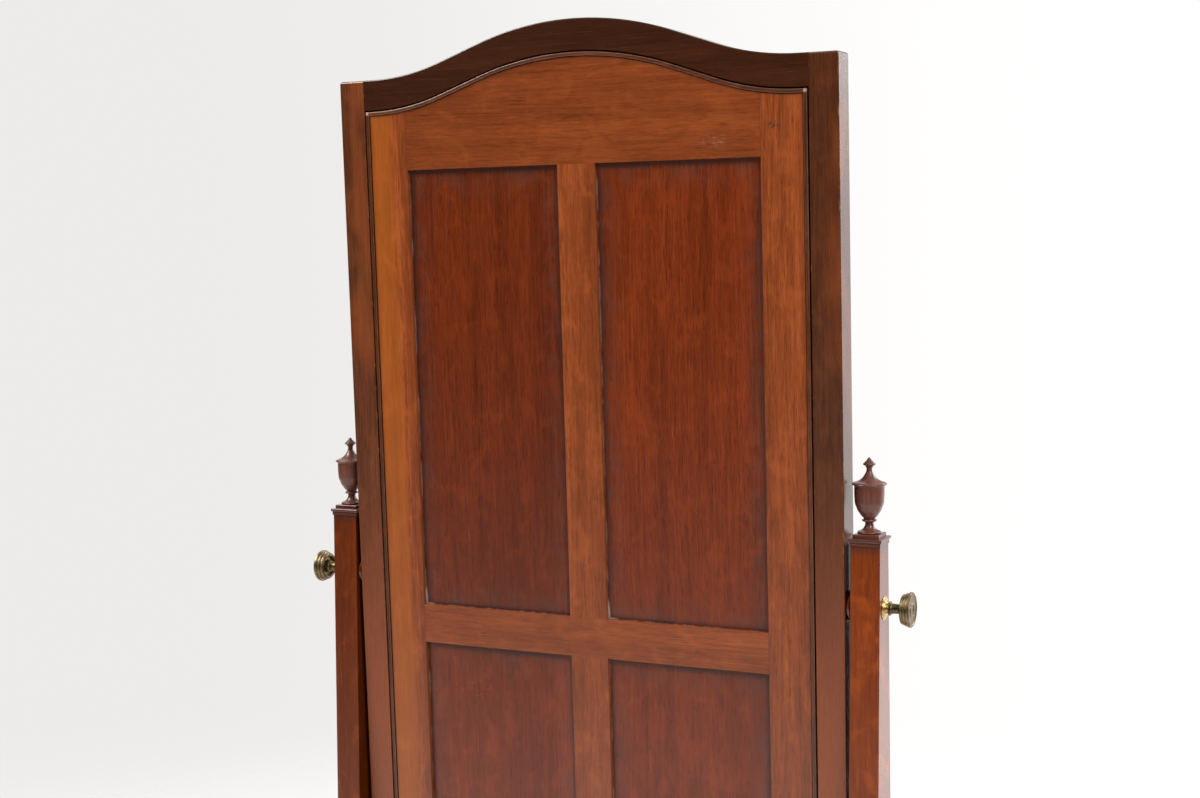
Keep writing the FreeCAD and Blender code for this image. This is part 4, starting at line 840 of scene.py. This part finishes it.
STRETCHER_TALL, STRETCHER_BOW, STRETCHER_ROUND = 44 * MM, 14 * MM, 1.8 * MM
TOE_LONG, TOE_THICK, HIP_FOOT = 34 * MM, 28 * MM, 116 * MM
UPRIGHT_TAPER = 0.0275


def half_bow(fall, run):
    """The bow of a quarter curve that starts level and comes down by fall over run."""
    return math.tan(math.atan(fall / run) / 2)


class CHEVAL_OT_stand(bpy.types.Operator):
    """Finish the uprights and their caps, and shape the stretcher and the swept legs"""
    bl_idname = "cheval.stand"
    bl_label = "Stand"

    def execute(self, context):
        for hand, sign in HANDS:
            wood = hue("stand_wood", 1.0 if sign < 0 else 0.72)
            wear(mahogany(f"upright_{hand}", wood, "Z", False, 6.3 + sign, 0.75, 0.6, 0.35, 0.24, 0.1,
                          upright_shade), f"upright_{hand}")
            wear(mahogany(f"cap_{hand}", hue("turned_wood", 0.8), "X", False, 6.9 + sign, 0.8, 0.1, 0.5),
                 f"upright_cap_{hand}")
        wear(plain_wood("beech_dowels", hue("beech"), 0.5), "leg_dowels")
        self.stretcher()
        for corner, way, sign in CORNERS:
            self.leg(corner, way, sign)
        return {"FINISHED"}

    def stretcher(self):
        """The rail between the uprights, its lower edge bowed up in the middle."""
        low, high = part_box("stretcher")
        half, foot = UPRIGHT_LOW.x, high.z - STRETCHER_TALL
        points = bowed([(half, high.z), (-half, high.z), (-half, foot, STRETCHER_BOW / half),
                        (half, foot)], 40)
        upright = Matrix.Rotation(math.pi / 2, 4, "X")
        mesh = slab(points, low.y, high.y, upright, STRETCHER_ROUND)
        material = mahogany("stretcher", hue("stand_wood", 0.8), "X", False, 7.1, 1.0, 0.3, 0.7)
        finished("stretcher_rail", "stand", material, mesh, ["stretcher"])

    def leg(self, corner, way, sign):
        """One leg, swept from the upright's side down to its toe."""
        low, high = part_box(f"leg_{corner}")
        inner, outer = sorted((abs(low.y), abs(high.y)))
        toe, toe_top = outer - TOE_LONG, low.z + TOE_THICK
        hip = inner + (high.z - HIP_FOOT) * UPRIGHT_TAPER
        upper, lower = half_bow(high.z - toe_top, toe - inner), half_bow(HIP_FOOT - low.z, toe - hip)
        points = bowed([(inner, high.z, -upper), (toe, toe_top), (outer, toe_top), (outer, low.z),
                        (toe, low.z, lower), (hip, HIP_FOOT)], 26)
        points = [Vector((way * point.x, point.y)) for point in points]
        sideways = Matrix(((0, 0, 1, 0), (1, 0, 0, 0), (0, 1, 0, 0), (0, 0, 0, 1)))
        mesh = slab(points, low.x, high.x, sideways, sizes().leg_round)
        material = mahogany(f"leg_{corner}", hue("stand_wood", 0.85), "Y", False, 8.3 + way + 2 * sign,
                            1.0, 0.35, 0.6)
        finished(f"swept_leg_{corner}", "stand", material, mesh, [f"leg_{corner}"])


# The urn's half outline, as shares of its rim's radius and of its height, with bows.
URN = [
    (0, 0), (0.63, 0), (0.66, 0.002, -0.8), (0.66, 0.026), (0.60, 0.034, 0.30), (0.25, 0.118),
    (0.25, 0.138), (0.29, 0.150), (0.375, 0.156, -0.9), (0.375, 0.186), (0.31, 0.196),
    (0.36, 0.203, -0.10), (0.57, 0.262, -0.12), (0.76, 0.344, -0.12), (0.86, 0.43, -0.03), (0.88, 0.615),
    (0.89, 0.628, 0.3), (0.935, 0.634), (0.965, 0.637, -0.9), (0.965, 0.662), (0.92, 0.672, 0.24),
    (0.24, 0.79, 0.16), (0.165, 0.85, 0.2), (0.34, 0.900, -0.5), (0.345, 0.922), (0.13, 0.968, -0.25),
    (0, 1.0),
]


class CHEVAL_OT_urns(bpy.types.Operator):
    """Turn the urn finials"""
    bl_idname = "cheval.urns"
    bl_label = "Urn finials"

    def execute(self, context):
        rim, tall = sizes().urn_rim / MM, sizes().urn_tall / MM
        outline = [(radius * rim, height * tall, *bow) for radius, height, *bow in URN]
        for hand, _ in HANDS:
            low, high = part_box(f"upright_cap_{hand}")
            place = Matrix.Translation(((low.x + high.x) / 2, 0, high.z))
            finished(f"urn_{hand}", "stand",
                     turned(f"urn_{hand}", hue("turned_wood")), turning(outline, place, 0.4, 14),
                     [f"finial_{hand}"])
        return {"FINISHED"}


# ---- pivots and clamps ----

BORE = 4.6   # radius in millimetres of the hole for the clamp screw


def extent(node):
    """Radius, near end and far end of a turned piece on the right-hand pivot, in millimetres."""
    low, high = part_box(node)
    return high.y / MM, low.x / MM, high.x / MM


class CHEVAL_OT_clamps(bpy.types.Operator):
    """Turn the pivot bosses, rosettes, washers and clamp knobs"""
    bl_idname = "cheval.clamps"
    bl_label = "Pivots and clamps"

    def execute(self, context):
        for hand, sign in HANDS:
            outward = Matrix.Translation(TILT["pos_m"]) @ Matrix.Rotation(sign * math.pi / 2, 4, "Y")
            wood = mahogany(f"boss_{hand}", hue("stand_wood", 0.5), "X", False, 9.1, gloss=0.16, coat=0.5)
            finished(f"boss_{hand}", "stand", wood, turning(self.boss(), outward, 0.35),
                     [f"pivot_boss_{hand}"])
            finished(f"rosette_plate_{hand}", "stand", brass(f"rosette_{hand}", 0.85, 0.1),
                     turning(self.rosette(), outward, 0.35), [f"rosette_{hand}"])
            finished(f"washer_ring_{hand}", f"washer_{hand}", brass(f"washer_{hand}", 0.95, 0.2),
                     turning(self.washer(), outward, 0.35), [f"thrust_washer_{hand}"])
            finished(f"knob_{hand}", f"knob_{hand}", brass(f"knob_{hand}", 0.34, 0.3),
                     turning(self.knob(), outward, 0.4), [f"clamp_knob_{hand}"])
        return {"FINISHED"}

    def boss(self):
        rim, back, front = extent("pivot_boss_right")
        body = rim - (front - back) / 2
        return [(BORE, back), (body, back, -1), (body, front), (BORE, front)]

    def rosette(self):
        rim, back, front = extent("rosette_right")
        return [(BORE, back), (rim, back), (rim, back + 0.7, 0.6), (rim - 1.3, back + 1.6),
                (rim - 3.0, back + 1.3), (rim - 3.4, back + 2.2, 0.5), (rim - 4.6, back + 2.7),
                (rim - 4.9, back + 2.1), (rim - 5.6, back + 2.1, 0.4), (rim - 6.8, front), (BORE, front)]

    def washer(self):
        rim, back, front = extent("thrust_washer_right")
        return [(BORE, back), (rim - 0.5, back, 1), (rim - 0.5, front), (BORE, front)]

    def knob(self):
        """Foot, waist, ringed drum and face with a button, a hair off the washer."""
        _, low, high = extent("clamp_knob_right")
        rim, back, face = sizes().knob / MM, low + 0.1, high - 1.4
        drum = face - 11.6
        return [
            (4.0, back), (7.6, back), (8.0, back + 0.5, 0.8), (8.0, back + 1.4), (6.3, back + 2.2, -0.3),
            (5.4, back + 4.0), (5.3, drum - 3.2, -0.3), (7.0, drum - 0.2), (7.8, drum + 3.4),
            (12.6, drum + 3.8), (13.0, drum + 0.6, 0.5), (14.4, drum, 0.2), (15.8, drum + 0.6, 0.3),
            (16.4, drum + 1.8), (16.5, drum + 3.0), (16.0, drum + 3.4), (16.0, drum + 3.8),
            (17.2, drum + 4.2, 0.4), (17.8, drum + 5.2), (17.8, drum + 6.6), (17.3, drum + 7.0),
            (17.3, drum + 7.4), (rim - 0.8, drum + 7.6, 0.45), (rim, drum + 8.4), (rim, face - 1.2, 0.45),
            (rim - 1.2, face), (rim - 2.8, face, 0.2), (rim - 4.2, face - 0.9), (8.2, face - 1.0, -0.5),
            (6.8, face - 0.2, -0.5), (5.4, face - 1.0), (3.0, face - 0.6, 0.3), (0, face - 0.1),
            (0, face - 5.0), (4.0, face - 5.2)]


# ---- castors ----

# The wheel's half outline in millimetres, with bows.
WHEEL = [
    (2.1, -6.7), (5.8, -6.7, 0.2), (6.8, -3.1), (10.6, -3.1, 0.25), (11.9, -5.2), (13.6, -5.2, 0.42),
    (15.0, -3.8, 0.06), (15.0, 3.8, 0.42), (13.6, 5.2), (11.9, 5.2, 0.25), (10.6, 3.1), (6.8, 3.1, 0.2),
    (5.8, 6.7), (2.1, 6.7),
]


class CHEVAL_OT_castors(bpy.types.Operator):
    """Turn the castor wheels and finish the horns, axles and cups"""
    bl_idname = "cheval.castors"
    bl_label = "Castors"

    def execute(self, context):
        metal = brass("castor_metal", 0.3, 0.6, 0.0)
        wear(metal, "castor_cups")
        for corner, way, sign in CORNERS:
            wear(metal, f"castor_horn_{corner}", f"castor_axle_{corner}")
            joint = next(item for item in frame["joints"] if item["name"] == f"wheel_{corner}_roll")
            axle = Vector(joint["axis"]).to_track_quat("Z", "X").to_matrix().to_4x4()
            place = Matrix.Translation(joint["pos_m"]) @ axle
            finished(f"wheel_{corner}", f"wheel_{corner}",
                     brass(f"wheel_{corner}", 0.3, way + sign), turning(WHEEL, place, 0.3, 8, 72),
                     [f"castor_wheel_{corner}"])
        return {"FINISHED"}


# ---- stage ----

# Name, place, aim, width and watts of each lamp.
LAMPS = (
    ("key", (2.2, 1.2, 3.3), (0, 0, 1.0), 1.6, 120),
    ("fill", (-2.5, 1.6, 2.9), (0, 0, 0.9), 1.8, 90),
    ("front", (-2.2, -2.8, 2.4), (0, 0, 0.8), 1.8, 60),
)
CAMERA_PLACE = (-0.832, 1.765, 1.260)
CAMERA_YAW, CAMERA_PITCH, CAMERA_ROLL = math.radians(24.93), math.radians(-5.08), math.radians(-0.91)
LENS_MM, SENSOR_MM = 51.4, 36
FLOOR_RADIUS, FLOOR_FADES_FROM = 3.2, 0.9


class CHEVAL_OT_stage(bpy.types.Operator):
    """Set up the pale floor, the soft lamps, the sky and the camera"""
    bl_idname = "cheval.stage"
    bl_label = "Studio"

    def execute(self, context):
        self.camera()
        self.floor()
        self.sky()
        for name, spot, aim, wide, watts in LAMPS:
            lamp = bpy.data.lights.new(name, "AREA")
            lamp.shape, lamp.size, lamp.energy = "DISK", wide, watts
            holder = placed(name, lamp)
            holder.location = spot
            holder.rotation_euler = (Vector(aim) - Vector(spot)).to_track_quat("-Z", "Y").to_euler()
        context.scene.view_settings.view_transform = "Standard"
        return {"FINISHED"}

    def camera(self):
        """Behind the mirror and to one side, looking a little down."""
        level_out = math.cos(CAMERA_PITCH)
        ahead = Vector((math.sin(CAMERA_YAW) * level_out, -math.cos(CAMERA_YAW) * level_out,
                        math.sin(CAMERA_PITCH)))
        level = Vector((-math.cos(CAMERA_YAW), -math.sin(CAMERA_YAW), 0))
        upward = level.cross(ahead)
        right = level * math.cos(CAMERA_ROLL) + upward * math.sin(CAMERA_ROLL)
        up = upward * math.cos(CAMERA_ROLL) - level * math.sin(CAMERA_ROLL)
        lens = bpy.data.cameras.new("camera")
        lens.lens, lens.sensor_width = LENS_MM, SENSOR_MM
        camera = placed("camera", lens)
        turn = Matrix((right, up, -ahead)).transposed().to_4x4()
        camera.matrix_world = Matrix.Translation(CAMERA_PLACE) @ turn
        bpy.context.scene.camera = camera

    def floor(self):
        """A round floor that fades out towards its rim."""
        shape = bmesh.new()
        bmesh.ops.create_circle(shape, cap_ends=True, segments=96, radius=FLOOR_RADIUS)
        mesh = meshed("floor", shape)
        finish = Finish("studio_floor")
        place = finish.place()
        away = finish.add("ShaderNodeVectorMath", {0: place}, result="Value", operation="LENGTH")
        speck = finish.noise(place, (35, 35, 35), 3.0)
        finish.set(Base_Color=finish.ramp(speck, [(0.3, hue("floor", 0.98)), (0.7, hue("floor"))]),
                   Roughness=0.65, Alpha=finish.spread(away, FLOOR_FADES_FROM, FLOOR_RADIUS * 0.94, 1.0, 0.0))
        mesh.materials.append(finish.material)
        floor = placed("floor", mesh)

    def sky(self):
        """White to the eye. As light it is bright on the glass side but weaker straight in front of the
        glass, soft above and below, and dim elsewhere."""
        world = bpy.data.worlds.new("studio")
        bpy.context.scene.world = world
        world.use_nodes = True
        net = Nodes(world.node_tree)
        x, y, z = net.axes(net.add("ShaderNodeTexCoord", result="Generated"))
        beside = net.spread(net.math("ABSOLUTE", x), 0.05, 0.4, 0.32, 1.0)
        backdrop = net.times(net.spread(y, -0.9, -0.2, 1.95, 0.0), beside)
        ceiling = net.spread(z, 0.45, 0.95, 0.015, 0.9)
        ground = net.spread(z, -0.32, -0.13, 0.9, 0.0)
        strength = net.math("ADD", net.math("ADD", backdrop, ceiling), ground)
        light = net.add("ShaderNodeBackground", {"Strength": strength})
        seen = net.add("ShaderNodeBackground", {"Color": (1, 0.99, 0.98, 1),
                                                "Strength": net.spread(x, 0.16, 0.62, 1.02, 0.84)})
        to_eye = net.add("ShaderNodeLightPath", result="Is Camera Ray")
        both = net.add("ShaderNodeMixShader", {0: to_eye, 1: light, 2: seen})
        net.add("ShaderNodeOutputWorld", {"Surface": both})


# ---- add-on ----

STEPS = (CHEVAL_OT_stage, CHEVAL_OT_frame, CHEVAL_OT_back, CHEVAL_OT_bead, CHEVAL_OT_stand, CHEVAL_OT_urns,
         CHEVAL_OT_clamps, CHEVAL_OT_castors)


class CHEVAL_PT_panel(bpy.types.Panel):
    """Everything that this add-on makes"""
    bl_label = "Cheval mirror"
    bl_idname = "CHEVAL_PT_panel"
    bl_space_type = "VIEW_3D"
    bl_region_type = "UI"
    bl_category = "Cheval mirror"

    def draw(self, context):
        for step in STEPS:
            self.layout.operator(step.bl_idname)
        for group in (context.scene.cheval_sizes, context.scene.cheval_colours):
            box = self.layout.box()
            for name in group.__annotations__:
                box.prop(group, name)


CLASSES = (ChevalSizes, ChevalColours, *STEPS, CHEVAL_PT_panel)


def register():
    for item in CLASSES:
        bpy.utils.register_class(item)
    bpy.types.Scene.cheval_sizes = bpy.props.PointerProperty(type=ChevalSizes)
    bpy.types.Scene.cheval_colours = bpy.props.PointerProperty(type=ChevalColours)


def unregister():
    del bpy.types.Scene.cheval_colours
    del bpy.types.Scene.cheval_sizes
    for item in reversed(CLASSES):
        bpy.utils.unregister_class(item)


def main():
    register()
    for step in STEPS:
        group, name = step.bl_idname.split(".")
        getattr(getattr(bpy.ops, group), name)()


if __name__ == "__main__":
    main()
